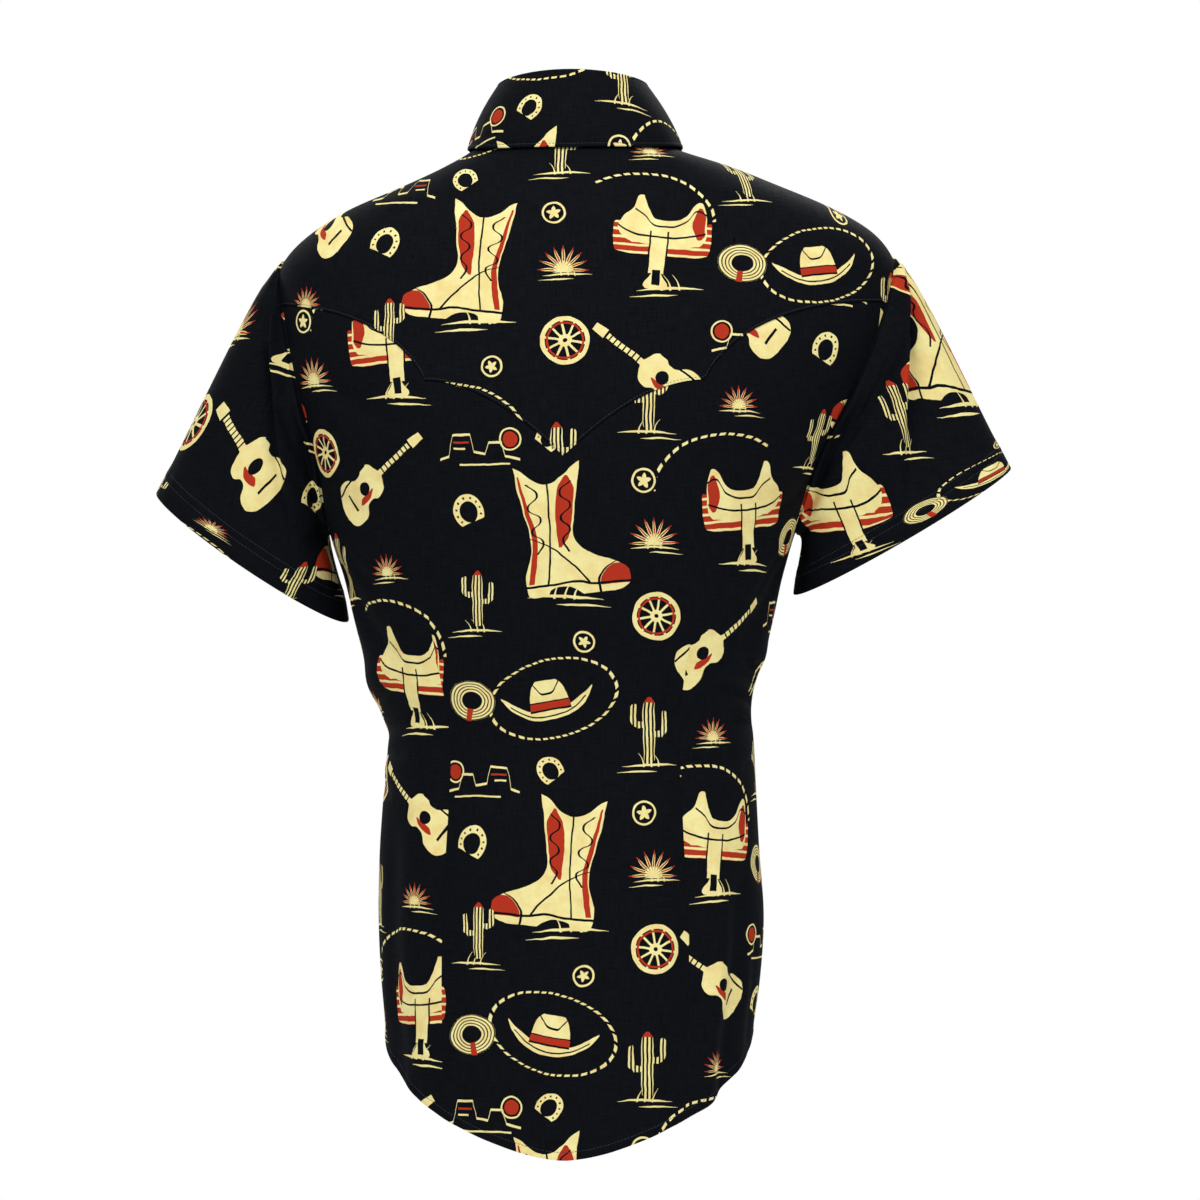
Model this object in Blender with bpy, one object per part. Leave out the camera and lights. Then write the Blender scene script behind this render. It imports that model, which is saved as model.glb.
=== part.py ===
"""A short-sleeved western snap shirt in its worn, hollow form. Metres, +Z up, front towards -Y,
the wearer's left at +X, origin at the middle of the neck base.

The torso is one smooth surface, body(around, level), that each cut piece takes its share of:
around is 0 at centre back, +-1 at the side seams (+ is the wearer's left) and +-2 at centre front,
and level is the height at the side of the ring that passes through the point.
"""

import math
from collections import namedtuple

import bpy
import numpy as np

WALL = 0.0014  # cloth wall
SEAM = 0.0003  # gap between pieces that are sewn together
HALF_SEAM = SEAM / 2
ARMHOLE_GAP = 0.0005  # the sleeve seam turns a corner, so it needs a little more

# Rings of the torso, hem to neck. left, right, back and front are half widths and depths, the lifts
# raise a ring at centre back and centre front, and corner is 2 for an ellipse and more for a boxier ring.
Ring = namedtuple("Ring", "level left right back front back_lift front_lift corner")
RINGS = [
    Ring(-0.800, 0.1440, 0.1390, 0.1230, 0.1200, 0, 0, 2.3),
    Ring(-0.740, 0.1465, 0.1410, 0.1220, 0.1200, 0, 0, 2.3),
    Ring(-0.700, 0.1490, 0.1445, 0.1210, 0.1195, 0, 0, 2.3),
    Ring(-0.660, 0.1525, 0.1500, 0.1195, 0.1190, 0, 0, 2.3),
    Ring(-0.610, 0.1545, 0.1530, 0.1160, 0.1185, 0, 0, 2.3),
    Ring(-0.558, 0.1535, 0.1495, 0.1100, 0.1175, 0, 0, 2.3),
    Ring(-0.510, 0.1505, 0.1470, 0.1045, 0.1170, 0, 0, 2.3),
    Ring(-0.478, 0.1490, 0.1455, 0.1020, 0.1170, 0, 0, 2.3),
    Ring(-0.446, 0.1545, 0.1440, 0.1035, 0.1180, 0, 0, 2.3),
    Ring(-0.414, 0.1635, 0.1490, 0.1080, 0.1210, 0, 0, 2.3),
    Ring(-0.382, 0.1720, 0.1585, 0.1130, 0.1240, 0, 0, 2.3),
    Ring(-0.340, 0.1830, 0.1680, 0.1185, 0.1270, 0, 0, 2.3),
    Ring(-0.305, 0.1935, 0.1780, 0.1220, 0.1290, 0, 0, 2.3),
    Ring(-0.250, 0.2070, 0.2010, 0.1245, 0.1300, 0, 0, 2.3),
    Ring(-0.200, 0.2230, 0.2300, 0.1240, 0.1260, 0, -0.002, 2.3),
    Ring(-0.160, 0.2320, 0.2480, 0.1195, 0.1190, 0, -0.007, 2.3),
    Ring(-0.120, 0.2355, 0.2580, 0.1120, 0.1110, 0, -0.015, 2.25),
    Ring(-0.088, 0.2310, 0.2560, 0.1040, 0.1030, 0, -0.024, 2.2),
    Ring(-0.0624, 0.2050, 0.2340, 0.0945, 0.0960, 0.0010, -0.0340, 2.1),
    Ring(-0.0464, 0.1780, 0.2055, 0.0870, 0.0910, 0.0015, -0.0405, 2.1),
    Ring(-0.0304, 0.1400, 0.1680, 0.0780, 0.0860, 0.0020, -0.0480, 2.1),
    Ring(-0.0144, 0.1050, 0.1280, 0.0695, 0.0820, 0.0030, -0.0560, 2.05),
    Ring(0.0000, 0.0800, 0.0850, 0.0610, 0.0800, 0.0035, -0.0635, 2),
    Ring(0.0120, 0.0670, 0.0690, 0.0550, 0.0790, 0.0040, -0.0700, 2),
]
NECK = RINGS[-1]
STAND_TOP = Ring(0.0520, 0.0565, 0.0575, 0.0490, 0.0860, 0.0040, -0.0760, 2)

# The hem: a tail at the back and at the front, rising to the side seams.
HEM_SIDE = -0.704
BACK_TAIL = 0.081
FRONT_TAIL = 0.064
HEM_EASE = 0.8
HEM_NOTCH = 0.07  # how far the side notch is rounded, as a share of a tail

# The armhole, an oval on the torso round the side line.
ARMHOLE_TOP = -0.086
ARMHOLE_BOTTOM = -0.305
ARMHOLE_MIDDLE = (ARMHOLE_TOP + ARMHOLE_BOTTOM) / 2
ARMHOLE_RISE = (ARMHOLE_TOP - ARMHOLE_BOTTOM) / 2
ARMHOLE_BACK = 0.048
ARMHOLE_FRONT = 0.056
STEP = 10  # degrees of the armhole oval between two rows of points
BACK_YOKE_END = 50  # where the yoke seams meet the armhole, in degrees from its top
FRONT_YOKE_END = 60

# Yoke seams as curves of distance from the centre line and height: start, control point, end.
Arc = namedtuple("Arc", "start control end")
BACK_YOKE_SEAM = [
    Arc((0.0, -0.249), (0.060, -0.191), (0.107, -0.1905)),
    Arc((0.107, -0.1905), (0.138, -0.129), (0.260, -0.124)),
]
FRONT_YOKE_SEAM = [
    Arc((0.0, -0.178), (0.055, -0.180), (0.090, -0.222)),
    Arc((0.090, -0.222), (0.120, -0.165), (0.260, -0.146)),
]

# The two long darts of the back: a shallow groove, deepest at the waist.
DART_AROUND = 0.46
DART_TOP = -0.36
DART_BOTTOM = -0.76
DART_DEPTH = 0.0045
DART_WIDTH = 0.014

# The largest folds, each a soft trough (or, with a negative depth, a ridge) between two places.
Fold = namedtuple("Fold", "around_a level_a around_b level_b width depth")
FOLDS = [
    Fold(1.06, -0.468, 0.52, -0.446, 0.011, 0.0055),
    Fold(1.05, -0.432, 0.60, -0.405, 0.013, -0.0035),
    Fold(-1.06, -0.440, -0.55, -0.424, 0.010, 0.0050),
    Fold(-1.05, -0.408, -0.62, -0.386, 0.012, -0.0030),
    Fold(0.93, -0.325, 0.62, -0.420, 0.014, 0.0050),
    Fold(-0.93, -0.325, -0.66, -0.400, 0.013, 0.0045),
    Fold(0.70, -0.190, 0.50, -0.222, 0.010, 0.0030),
    Fold(-0.22, -0.540, -0.25, -0.800, 0.018, 0.0035),
    Fold(0.20, -0.580, 0.24, -0.800, 0.020, 0.0030),
    Fold(-0.72, -0.560, -0.64, -0.760, 0.013, 0.0060),
    Fold(-0.60, -0.600, -0.54, -0.790, 0.011, -0.0040),
    Fold(0.74, -0.520, 0.70, -0.760, 0.016, 0.0045),
    Fold(1.32, -0.330, 1.46, -0.470, 0.018, 0.0050),
    Fold(-1.34, -0.330, -1.50, -0.455, 0.017, 0.0050),
    Fold(1.04, -0.490, 1.45, -0.455, 0.012, 0.0045),
    Fold(-1.04, -0.470, -1.40, -0.445, 0.012, 0.0045),
    Fold(1.58, -0.500, 1.55, -0.780, 0.020, 0.0045),
    Fold(-1.55, -0.480, -1.58, -0.780, 0.021, 0.0050),
    Fold(1.24, -0.560, 1.22, -0.740, 0.016, -0.0040),
    Fold(-1.22, -0.580, -1.20, -0.740, 0.016, -0.0040),
]
AROUND_UNIT = 0.215  # metres of cloth in one unit of around, for the length of a fold

# The front closing: the left front laps over the right, under a placket band.
LAP = 0.0175
LAP_FROM = 0.047  # where the right front begins to drop under the left, and over how far
LAP_EASE = 0.025
PLACKET_WIDTH = 0.033
PLACKET_TOP_LEVEL = 0.0105
SNAP_RADIUS = 0.0056
SNAP_HEIGHT = 0.0030
SNAP_HEIGHTS = [-0.118, -0.212, -0.306, -0.400, -0.494, -0.588]
SNAP_SIDES = 16

# The collar fall: where its lower edge lies on the torso, from centre back to the point in front.
Edge = namedtuple("Edge", "along around level")
FALL_EDGE = [
    Edge(0.00, 0.00, -0.0105),
    Edge(0.20, 0.45, -0.0085),
    Edge(0.40, 0.88, -0.0020),
    Edge(0.50, 1.10, -0.0010),
    Edge(0.65, 1.36, -0.0080),
    Edge(0.82, 1.56, -0.0280),
    Edge(1.00, 1.695, -0.0690),
]
FALL_FRONT = 1.90  # where the fold line ends in front
FALL_CLEAR = 0.0030
FALL_WALL = 0.0016
FOLD_ROLL = 0.0034
FOLD_SHARE = 0.06  # of the fall's depth, that rolls over the stand
COLLAR_STEP = 0.1  # of around, between two columns of the stand and of the fall

# The sleeves. outer and inner are the ends of the hem's long axis, top and underarm.
Sleeve = namedtuple("Sleeve", "name side outer inner middle_y half_depth tilt")
SLEEVES = [
    Sleeve("sleeve_left", 1, (0.335, -0.272), (0.1835, -0.376), -0.012, 0.046, 0.16),
    Sleeve("sleeve_right", -1, (0.348, -0.254), (0.1790, -0.354), -0.010, 0.046, 0.15),
]
SLEEVE_ROWS = [0, 0.04, 0.08, 0.125, 0.18, 0.25, 0.34, 0.45, 0.57, 0.70, 0.84, 1]
SLEEVE_FOLD_DEPTH = 0.014
SLEEVE_FOLD_ALONG = 0.115
SLEEVE_FOLD_WIDTH = 0.05
SLEEVE_FOLD_FROM = 28
SLEEVE_FOLD_TO = 138


def smooth(at, table, key, column):
    """A column of a table at any value of its key column, through a cubic curve that passes each row."""
    keys = np.array([getattr(row, key) for row in table])
    values = np.array([getattr(row, column) for row in table])
    slopes = np.gradient(values, keys)
    at = np.clip(at, keys[0], keys[-1])
    row = np.clip(np.searchsorted(keys, at, side="right") - 1, 0, len(table) - 2)
    step = keys[row + 1] - keys[row]
    t = (at - keys[row]) / step
    from_low = (2 * t**3 - 3 * t**2 + 1) * values[row] + (t**3 - 2 * t**2 + t) * step * slopes[row]
    from_high = (3 * t**2 - 2 * t**3) * values[row + 1] + (t**3 - t**2) * step * slopes[row + 1]
    return from_low + from_high


def smooth_column(level, column):
    """A size of the torso's ring at any level."""
    return smooth(level, RINGS, "level", column)


def ease(t):
    """0 to 1 with level ends."""
    t = np.clip(t, 0, 1)
    return t * t * (3 - 2 * t)


QUARTER = np.linspace(0, math.pi / 2, 61)


def wrapped(around):
    """around past centre front comes in again from the other side."""
    return (around + 2) % 4 - 2


def quarter_curve(width, depth, corner):
    """Points of a quarter ring from its middle line to its side, and the length of cloth to each."""
    power = (2 / corner)[..., None]
    x = width[..., None] * np.sin(QUARTER) ** power
    y = depth[..., None] * np.cos(QUARTER) ** power
    steps = np.hypot(np.diff(x), np.diff(y))
    lengths = np.concatenate([np.zeros(x.shape[:-1] + (1,)), np.cumsum(steps, axis=-1)], axis=-1)
    return lengths


def ring_point(around, width, depth, lift, level, corner):
    """The place on a quarter ring at a share of its length, signed by around's side and half."""
    lengths = quarter_curve(width, depth, corner)
    share = np.abs(around)
    share = np.where(share > 1, 2 - share, share)
    wanted = share * lengths[..., -1]
    index = np.clip((lengths < wanted[..., None]).sum(axis=-1) - 1, 0, len(QUARTER) - 2)
    low = np.take_along_axis(lengths, index[..., None], -1)[..., 0]
    high = np.take_along_axis(lengths, index[..., None] + 1, -1)[..., 0]
    angle = QUARTER[index] + (QUARTER[1]) * (wanted - low) / np.maximum(high - low, 1e-9)
    angle = np.clip(angle, 0, math.pi / 2)
    power = 2 / corner
    x = width * np.sin(angle) ** power * np.sign(around)
    y = depth * np.maximum(np.cos(angle), 0) ** power * np.where(np.abs(around) > 1, -1, 1)
    return np.stack([x, y, level + lift * np.cos(angle) ** 2], axis=-1)


def plain_body(around, level):
    """The torso before its folds."""
    around, level = np.broadcast_arrays(wrapped(np.asarray(around, float)), np.asarray(level, float))
    width = np.where(around >= 0, smooth_column(level, "left"), smooth_column(level, "right"))
    in_back = np.abs(around) <= 1
    depth = np.where(in_back, smooth_column(level, "back"), smooth_column(level, "front"))
    lift = np.where(in_back, smooth_column(level, "back_lift"), smooth_column(level, "front_lift"))
    return ring_point(around, width, depth, lift, level, smooth_column(level, "corner"))


def sheet_normals(surface, across, up):
    """Normals of a surface of two numbers, turned so that up, across and the normal make a left hand."""
    nudge = 2e-4
    step_across = surface(across + nudge, up) - surface(across - nudge, up)
    step_up = surface(across, up + nudge) - surface(across, up - nudge)
    normal = np.cross(step_up, step_across)
    return normal / np.linalg.norm(normal, axis=-1, keepdims=True)


def fold_height(around, level):
    """How far the folds and darts push the cloth out (negative is in)."""
    around = wrapped(around)
    height = np.zeros(np.broadcast(around, level).shape)
    for fold in FOLDS:
        start = np.array([fold.around_a * AROUND_UNIT, fold.level_a])
        run = np.array([fold.around_b * AROUND_UNIT, fold.level_b]) - start
        length = np.hypot(*run)
        along = ((around * AROUND_UNIT - start[0]) * run[0] + (level - start[1]) * run[1]) / length
        beside = ((around * AROUND_UNIT - start[0]) * run[1] - (level - start[1]) * run[0]) / length
        fade = ease(along / (0.3 * length) + 0.2) * ease((length - along) / (0.3 * length) + 0.2)
        height = height - fold.depth * fade * np.exp(-((beside / fold.width) ** 2))
    middle = (DART_TOP + DART_BOTTOM) / 2
    reach = np.clip(1 - ((level - middle) / (DART_TOP - middle)) ** 2, 0, 1)
    from_dart = (np.abs(around) - DART_AROUND) * AROUND_UNIT
    return height - DART_DEPTH * reach * np.exp(-((from_dart / DART_WIDTH) ** 2))


def body(around, level):
    """The outside of the cloth of the torso."""
    around, level = np.broadcast_arrays(np.asarray(around, float), np.asarray(level, float))
    out = fold_height(around, level)[..., None]
    return plain_body(around, level) + out * sheet_normals(plain_body, around, level)


def body_normals(around, level):
    return sheet_normals(plain_body, np.asarray(around, float), np.asarray(level, float))


def quarter_length(around, level):
    """Cloth length of the quarter of the ring that around lies in."""
    around, level = np.broadcast_arrays(wrapped(np.asarray(around, float)), np.asarray(level, float))
    width = np.where(around >= 0, smooth_column(level, "left"), smooth_column(level, "right"))
    in_back = np.abs(around) <= 1
    depth = np.where(in_back, smooth_column(level, "back"), smooth_column(level, "front"))
    return quarter_curve(width, depth, smooth_column(level, "corner"))[..., -1]


def hem_level(around):
    """The height of the hem."""
    share = np.abs(wrapped(around))
    turn = np.where(share <= 1, share, 2 - share) * math.pi / 2
    tail = np.where(share <= 1, BACK_TAIL, FRONT_TAIL)
    drop = 1 - (1 - np.cos(turn)) ** HEM_EASE
    return HEM_SIDE - tail * (np.hypot(drop, HEM_NOTCH) - HEM_NOTCH) / (math.hypot(1, HEM_NOTCH) - HEM_NOTCH)


def armhole_width(level, widest):
    """Half the armhole's width along the cloth at a level."""
    rise = np.clip((level - ARMHOLE_MIDDLE) / ARMHOLE_RISE, -1, 1)
    return widest * np.sqrt(1 - rise**2)


def seam_height(arcs, distance):
    """The height of a yoke seam at a distance from the centre line."""
    t = np.linspace(0, 1, 41)[:, None]
    points = [(1 - t) ** 2 * np.array(a.start) + 2 * t * (1 - t) * np.array(a.control) + t**2 * np.array(a.end)
              for a in arcs]
    points = np.concatenate(points)
    return np.interp(distance, points[:, 0], points[:, 1])


def seam_level(arcs, around_at, guess):
    """The level of a yoke seam for each column, where around_at gives around from level."""
    level = np.array(guess, float)
    for _ in range(12):
        place = plain_body(around_at(level), level)
        level = level + 0.8 * (seam_height(arcs, np.abs(place[..., 0])) - place[..., 2])
    return level


def armhole_levels(from_degrees, to_degrees):
    """Levels of the armhole's edge, a STEP apart, from one angle to another."""
    count = round(abs(to_degrees - from_degrees) / STEP) + 1
    angles = np.radians(np.linspace(from_degrees, to_degrees, count))
    return ARMHOLE_MIDDLE + ARMHOLE_RISE * np.cos(angles)


def meet_armhole(seam, edge_level, edge_share):
    """A yoke seam drawn to the level where the armhole's edge has its point for it."""
    at_edge = seam[np.argmax(edge_share)]
    return seam + (edge_level - at_edge) * edge_share


def rows_between(low, high, edge_levels, edge_share):
    """Levels of a panel's points. The edge column keeps edge_levels, and inner columns space them evenly."""
    edge = (edge_levels - edge_levels[0]) / (edge_levels[-1] - edge_levels[0])
    even = np.linspace(0, 1, len(edge))
    share = even[:, None] * (1 - edge_share) + edge[:, None] * edge_share
    return low + (high - low) * share


def cloth_piece(name, outside, normals, material, wall=WALL, closed=False):
    """A cloth wall: rows of points on its outside, and the same points moved in along the normals."""
    rows, columns = outside.shape[:2]
    inside = outside - wall * normals
    under = rows * columns  # where the inner points start
    across = columns if closed else columns - 1
    sheet = []
    for row in range(rows - 1):
        for column in range(across):
            after = (column + 1) % columns
            sheet.append((row * columns + column, row * columns + after,
                          (row + 1) * columns + after, (row + 1) * columns + column))
    flat = outside.reshape(-1, 3)
    corners = flat[np.array(sheet)]
    facing = np.cross(corners[:, 2] - corners[:, 0], corners[:, 3] - corners[:, 1])
    if (facing * normals.reshape(-1, 3)[np.array(sheet)[:, 0]]).sum() < 0:
        sheet = [face[::-1] for face in sheet]
    rim = []
    used = {(face[i], face[(i + 1) % 4]) for face in sheet for i in range(4)}
    for start, end in used:
        if (end, start) not in used:
            rim.append((end, start, start + under, end + under))
    faces = sheet + [tuple(point + under for point in face[::-1]) for face in sheet] + sorted(rim)
    mesh = bpy.data.meshes.new(name)
    mesh.from_pydata(np.concatenate([flat, inside.reshape(-1, 3)]).tolist(), [], faces)
    mesh.shade_smooth()
    mesh.set_sharp_from_angle(angle=math.radians(40))
    mesh.materials.append(material)
    bpy.context.collection.objects.link(bpy.data.objects.new(name, mesh))


def finish(name, colour, roughness, metallic=0.0):
    material = bpy.data.materials.new(name)
    material.use_nodes = True
    surface = material.node_tree.nodes["Principled BSDF"]
    surface.inputs["Base Color"].default_value = (*colour, 1)
    surface.inputs["Roughness"].default_value = roughness
    surface.inputs["Metallic"].default_value = metallic
    return material


def corner_column(arcs, around_at):
    """The column, 0 to 1, that meets a yoke seam at its corner."""
    columns = np.linspace(0, 1, 201)
    level = seam_level(arcs, lambda level: around_at(columns, level), -0.16 + 0 * columns)
    place = plain_body(around_at(columns, level), level)
    order = np.argsort(np.abs(place[:, 0]))
    return np.interp(arcs[0].end[0], np.abs(place[order, 0]), columns[order])


def back_columns():
    """Columns from the right side of the back (-1) to the left (1), with one through each yoke corner."""
    left = corner_column(BACK_YOKE_SEAM, back_around)
    right = corner_column(BACK_YOKE_SEAM, lambda columns, level: back_around(-columns, level))
    half = [np.concatenate([np.linspace(0, at, 7), np.linspace(at, 1, 9)[1:]]) for at in (left, right)]
    return np.concatenate([-half[1][:0:-1], half[0]])


def front_columns(side):
    """Columns from a side seam (0) to past centre front (1), with one through the yoke's point."""
    point = corner_column(FRONT_YOKE_SEAM, lambda columns, level: front_around(0.95 * columns, level, side))
    point = 0.95 * point
    return np.concatenate([np.linspace(0, point, 8), np.linspace(point, 1, 8)[1:]])


def back_around(columns, level):
    """around for columns from side to side of the back, narrowed by the armholes."""
    side_gap = HALF_SEAM / quarter_length(columns, level)
    edge = 1 - armhole_width(level, ARMHOLE_BACK) / quarter_length(columns, level)
    return columns * (edge - side_gap)


def back_yoke_seam(columns):
    """The level of the back yoke's seam in each column of the back."""
    seam = seam_level(BACK_YOKE_SEAM, lambda level: back_around(columns, level), -0.16 + 0 * columns)
    left = np.where(columns > 0, columns, 0) ** 6
    right = np.where(columns < 0, columns, 0) ** 6
    armhole = armhole_levels(BACK_YOKE_END, 0)[0]
    return meet_armhole(meet_armhole(seam, armhole, left), armhole, right)


def make_back(cotton):
    columns = back_columns()
    seam = back_yoke_seam(columns)
    low = hem_level(columns)
    sides = np.linspace(HEM_SIDE, ARMHOLE_BOTTOM, 15)[:-1]
    edge = np.concatenate([sides, armhole_levels(180, BACK_YOKE_END)])
    level = rows_between(low, seam - HALF_SEAM, edge, np.abs(columns) ** 3)
    around = back_around(np.broadcast_to(columns, level.shape), level)
    cloth_piece("back", body(around, level), body_normals(around, level), cotton)


def make_back_yoke(cotton):
    columns = back_columns()
    seam = back_yoke_seam(columns)
    ridge = np.linspace(ARMHOLE_TOP, NECK.level - HALF_SEAM, 8)[1:]
    edge = np.concatenate([armhole_levels(BACK_YOKE_END, 0), ridge])
    level = rows_between(seam + HALF_SEAM, NECK.level - HALF_SEAM, edge, np.abs(columns) ** 3)
    around = back_around(np.broadcast_to(columns, level.shape), level)
    cloth_piece("back_yoke", body(around, level), body_normals(around, level), cotton)


def front_around(columns, level, side):
    """around for columns from the side seam (0) to past centre front (1)."""
    length = quarter_length(side * 1.5, level)
    edge = 1 + (armhole_width(level, ARMHOLE_FRONT) + HALF_SEAM) / length
    return side * (edge + (2 + LAP / length - edge) * columns)


def under_lap(points, around, level, side):
    """The right front drops under the left one near centre front."""
    if side > 0:
        return points
    drop = (WALL + SEAM) * ease((points[..., 0] + LAP_FROM) / LAP_EASE)
    return points - drop[..., None] * body_normals(around, level)


def front_yoke_seam(columns, side):
    """The level of a front yoke's seam in each column of its front."""
    seam = seam_level(FRONT_YOKE_SEAM, lambda level: front_around(columns, level, side), -0.17 + 0 * columns)
    return meet_armhole(seam, armhole_levels(FRONT_YOKE_END, 0)[0], (1 - columns) ** 6)


def make_front(side, cotton):
    columns = front_columns(side)
    seam = front_yoke_seam(columns, side)
    sides = np.linspace(HEM_SIDE, ARMHOLE_BOTTOM, 15)[:-1]
    edge = np.concatenate([sides, armhole_levels(180, FRONT_YOKE_END)])
    low = hem_level(front_around(columns, HEM_SIDE + 0 * columns, side))
    level = rows_between(low, seam - HALF_SEAM, edge, (1 - columns) ** 3)
    around = front_around(np.broadcast_to(columns, level.shape), level, side)
    name = "front_left" if side > 0 else "front_right"
    points = under_lap(body(around, level), around, level, side)
    cloth_piece(name, points, body_normals(around, level), cotton)


def make_front_yoke(side, cotton):
    columns = front_columns(side)
    seam = front_yoke_seam(columns, side)
    ridge = np.linspace(ARMHOLE_TOP, NECK.level - HALF_SEAM, 8)[1:]
    edge = np.concatenate([armhole_levels(FRONT_YOKE_END, 0), ridge])
    level = rows_between(seam + HALF_SEAM, NECK.level - HALF_SEAM, edge, (1 - columns) ** 3)
    around = front_around(np.broadcast_to(columns, level.shape), level, side)
    name = "front_yoke_left" if side > 0 else "front_yoke_right"
    points = under_lap(body(around, level), around, level, side)
    cloth_piece(name, points, body_normals(around, level), cotton)


def make_placket(cotton):
    """A band down the edge of the left front, made from the front's own points moved out."""
    across = np.linspace(-PLACKET_WIDTH / 2, PLACKET_WIDTH / 2, 5)
    rows = np.linspace(0, 1, 33)[:, None]
    low = hem_level(2 + 0 * across) + SEAM
    level = low + (PLACKET_TOP_LEVEL - low) * rows
    around = 2 + across[None, :] / quarter_length(1.5, level)
    normals = body_normals(around, level)
    cloth_piece("placket", body(around, level) + (WALL + SEAM) * normals, normals, cotton)


def ring_row(around, ring):
    """Points round one ring of the collar."""
    around = wrapped(around)
    width = np.where(around >= 0, ring.left, ring.right)
    in_back = np.abs(around) <= 1
    depth = np.where(in_back, ring.back, ring.front)
    lift = np.where(in_back, ring.back_lift, ring.front_lift)
    return ring_point(around, width, depth, lift, ring.level + 0 * around, ring.corner + 0 * around)


def stand_point(around, up):
    """The collar stand: around passes +-2 where its ends lap, and up runs from 0 to 1."""
    foot, top = ring_row(around, NECK), ring_row(around, STAND_TOP)
    points = foot + (top - foot) * up[..., None]
    out = points * np.array([1, 1, 0])
    out = out / np.linalg.norm(out, axis=-1, keepdims=True)
    lap = (WALL + SEAM) / 2 * np.sign(around) * ease((np.abs(around) - 1.6) / 0.3)
    return points + lap[..., None] * out + np.array([0, 0, SEAM]) * (1 - up[..., None])


def make_stand(cotton):
    lap_end = 2 + LAP / quarter_length(1.5, NECK.level)
    inner = np.arange(-20, 21) * COLLAR_STEP
    around = np.concatenate([[-lap_end], inner, [lap_end]])[None, :]
    up = np.linspace(0, 1, 4)[:, None]
    around, up = np.broadcast_arrays(around, up)
    cloth_piece("collar_stand", stand_point(around, up), sheet_normals(stand_point, around, up), cotton)


def fall_points(along, down):
    """The collar fall: along is -1 to 1 from the right point to the left one, down 0 to 1 from the fold."""
    share = np.abs(along)
    edge_around = smooth(share, FALL_EDGE, "along", "around") * np.sign(along)
    edge_level = smooth(share, FALL_EDGE, "along", "level")
    edge = body(edge_around, edge_level) + FALL_CLEAR * body_normals(edge_around, edge_level)
    fold_around = along * FALL_FRONT
    out = ring_row(fold_around, STAND_TOP) * np.array([1, 1, 0])
    out = out / np.linalg.norm(out, axis=-1, keepdims=True)
    over_lap = (WALL + 2 * SEAM) * ease((-fold_around - 1.5) / 0.25)
    fold = stand_point(fold_around, np.ones_like(fold_around)) + over_lap[..., None] * out
    nudge = 1e-3
    line = ring_row(fold_around + nudge, STAND_TOP) - ring_row(fold_around - nudge, STAND_TOP)
    up = np.cross(line, out)
    up = up / np.linalg.norm(up, axis=-1, keepdims=True) * np.sign(up[..., 2:])
    roll = np.clip(down / FOLD_SHARE, 0, 1) * math.pi / 2
    rise = FALL_WALL + 2 * SEAM
    shoulder = fold + out * (FOLD_ROLL * np.sin(roll))[..., None] + up * (rise * np.cos(roll))[..., None]
    move = np.clip((down - FOLD_SHARE) / (1 - FOLD_SHARE), 0, 1)
    crown = 0.0035 * 4 * move * (1 - move)
    return shoulder + (edge - shoulder) * move[..., None] + out * crown[..., None]


def make_fall(cotton):
    steps = round(FALL_FRONT / COLLAR_STEP)
    along = (np.arange(-steps, steps + 1) / steps)[None, :]
    down = np.array([0, 0.03, 0.07, 0.3, 0.55, 0.8, 1])[:, None]
    along, down = np.broadcast_arrays(along, down)
    normals = -sheet_normals(fall_points, along, down)
    cloth_piece("collar_fall", fall_points(along, down), normals, cotton, FALL_WALL)


def armhole_point(degrees, side):
    """The armhole's edge on the torso, from its top (0) round the back (90)."""
    angle = np.radians(degrees)
    level = ARMHOLE_MIDDLE + ARMHOLE_RISE * np.cos(angle)
    behind = np.sin(angle) >= 0
    widest = np.where(behind, ARMHOLE_BACK, ARMHOLE_FRONT)
    length = quarter_length(side * np.where(behind, 0.5, 1.5), level)
    around = side * (1 - widest * np.sin(angle) / length)
    return body(around, level)


def sleeve_point(sleeve, degrees, along):
    """A sleeve: degrees round it from its top by way of the back, along 0 at the armhole to 1 at the hem."""
    angle = np.radians(degrees)
    top, back = np.cos(angle), np.sin(angle)
    outer, inner = np.array(sleeve.outer), np.array(sleeve.inner)
    middle, reach = (outer + inner) / 2, (outer - inner) / 2
    line = np.array([reach[1], -reach[0]]) / np.hypot(*reach)  # along the arm, away from the body
    lean = back * sleeve.half_depth * sleeve.tilt
    hem_x = middle[0] + top * reach[0] + lean * line[0]
    hem_z = middle[1] + top * reach[1] + lean * line[1]
    hem = np.stack([sleeve.side * hem_x, sleeve.middle_y + back * sleeve.half_depth, hem_z], axis=-1)
    dip = np.radians(14 + 20 * top)
    leave = np.stack([sleeve.side * np.cos(dip), 0 * dip, -np.sin(dip)], axis=-1)
    start = armhole_point(degrees, sleeve.side) + ARMHOLE_GAP * leave
    arrive_x = 0.22 + 0.26 * top
    arrive = np.stack([sleeve.side * arrive_x, 0 * top, -np.sqrt(1 - arrive_x**2)], axis=-1)
    leave = leave * (0.055 + 0.015 * top)[..., None]
    arrive = arrive * (0.13 + 0.06 * top)[..., None]
    t = along[..., None]
    return ((2 * t**3 - 3 * t**2 + 1) * start + (t**3 - 2 * t**2 + t) * leave
            + (3 * t**2 - 2 * t**3) * hem + (t**3 - t**2) * arrive)


def sleeve_folds(degrees, along):
    """The deep fold behind the armhole, as a trough down the back of the sleeve."""
    span = ease((degrees - SLEEVE_FOLD_FROM) / 25) * ease((SLEEVE_FOLD_TO - degrees) / 30)
    beside = (along - SLEEVE_FOLD_ALONG) / SLEEVE_FOLD_WIDTH
    return -SLEEVE_FOLD_DEPTH * span * np.exp(-(beside**2))


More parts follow.
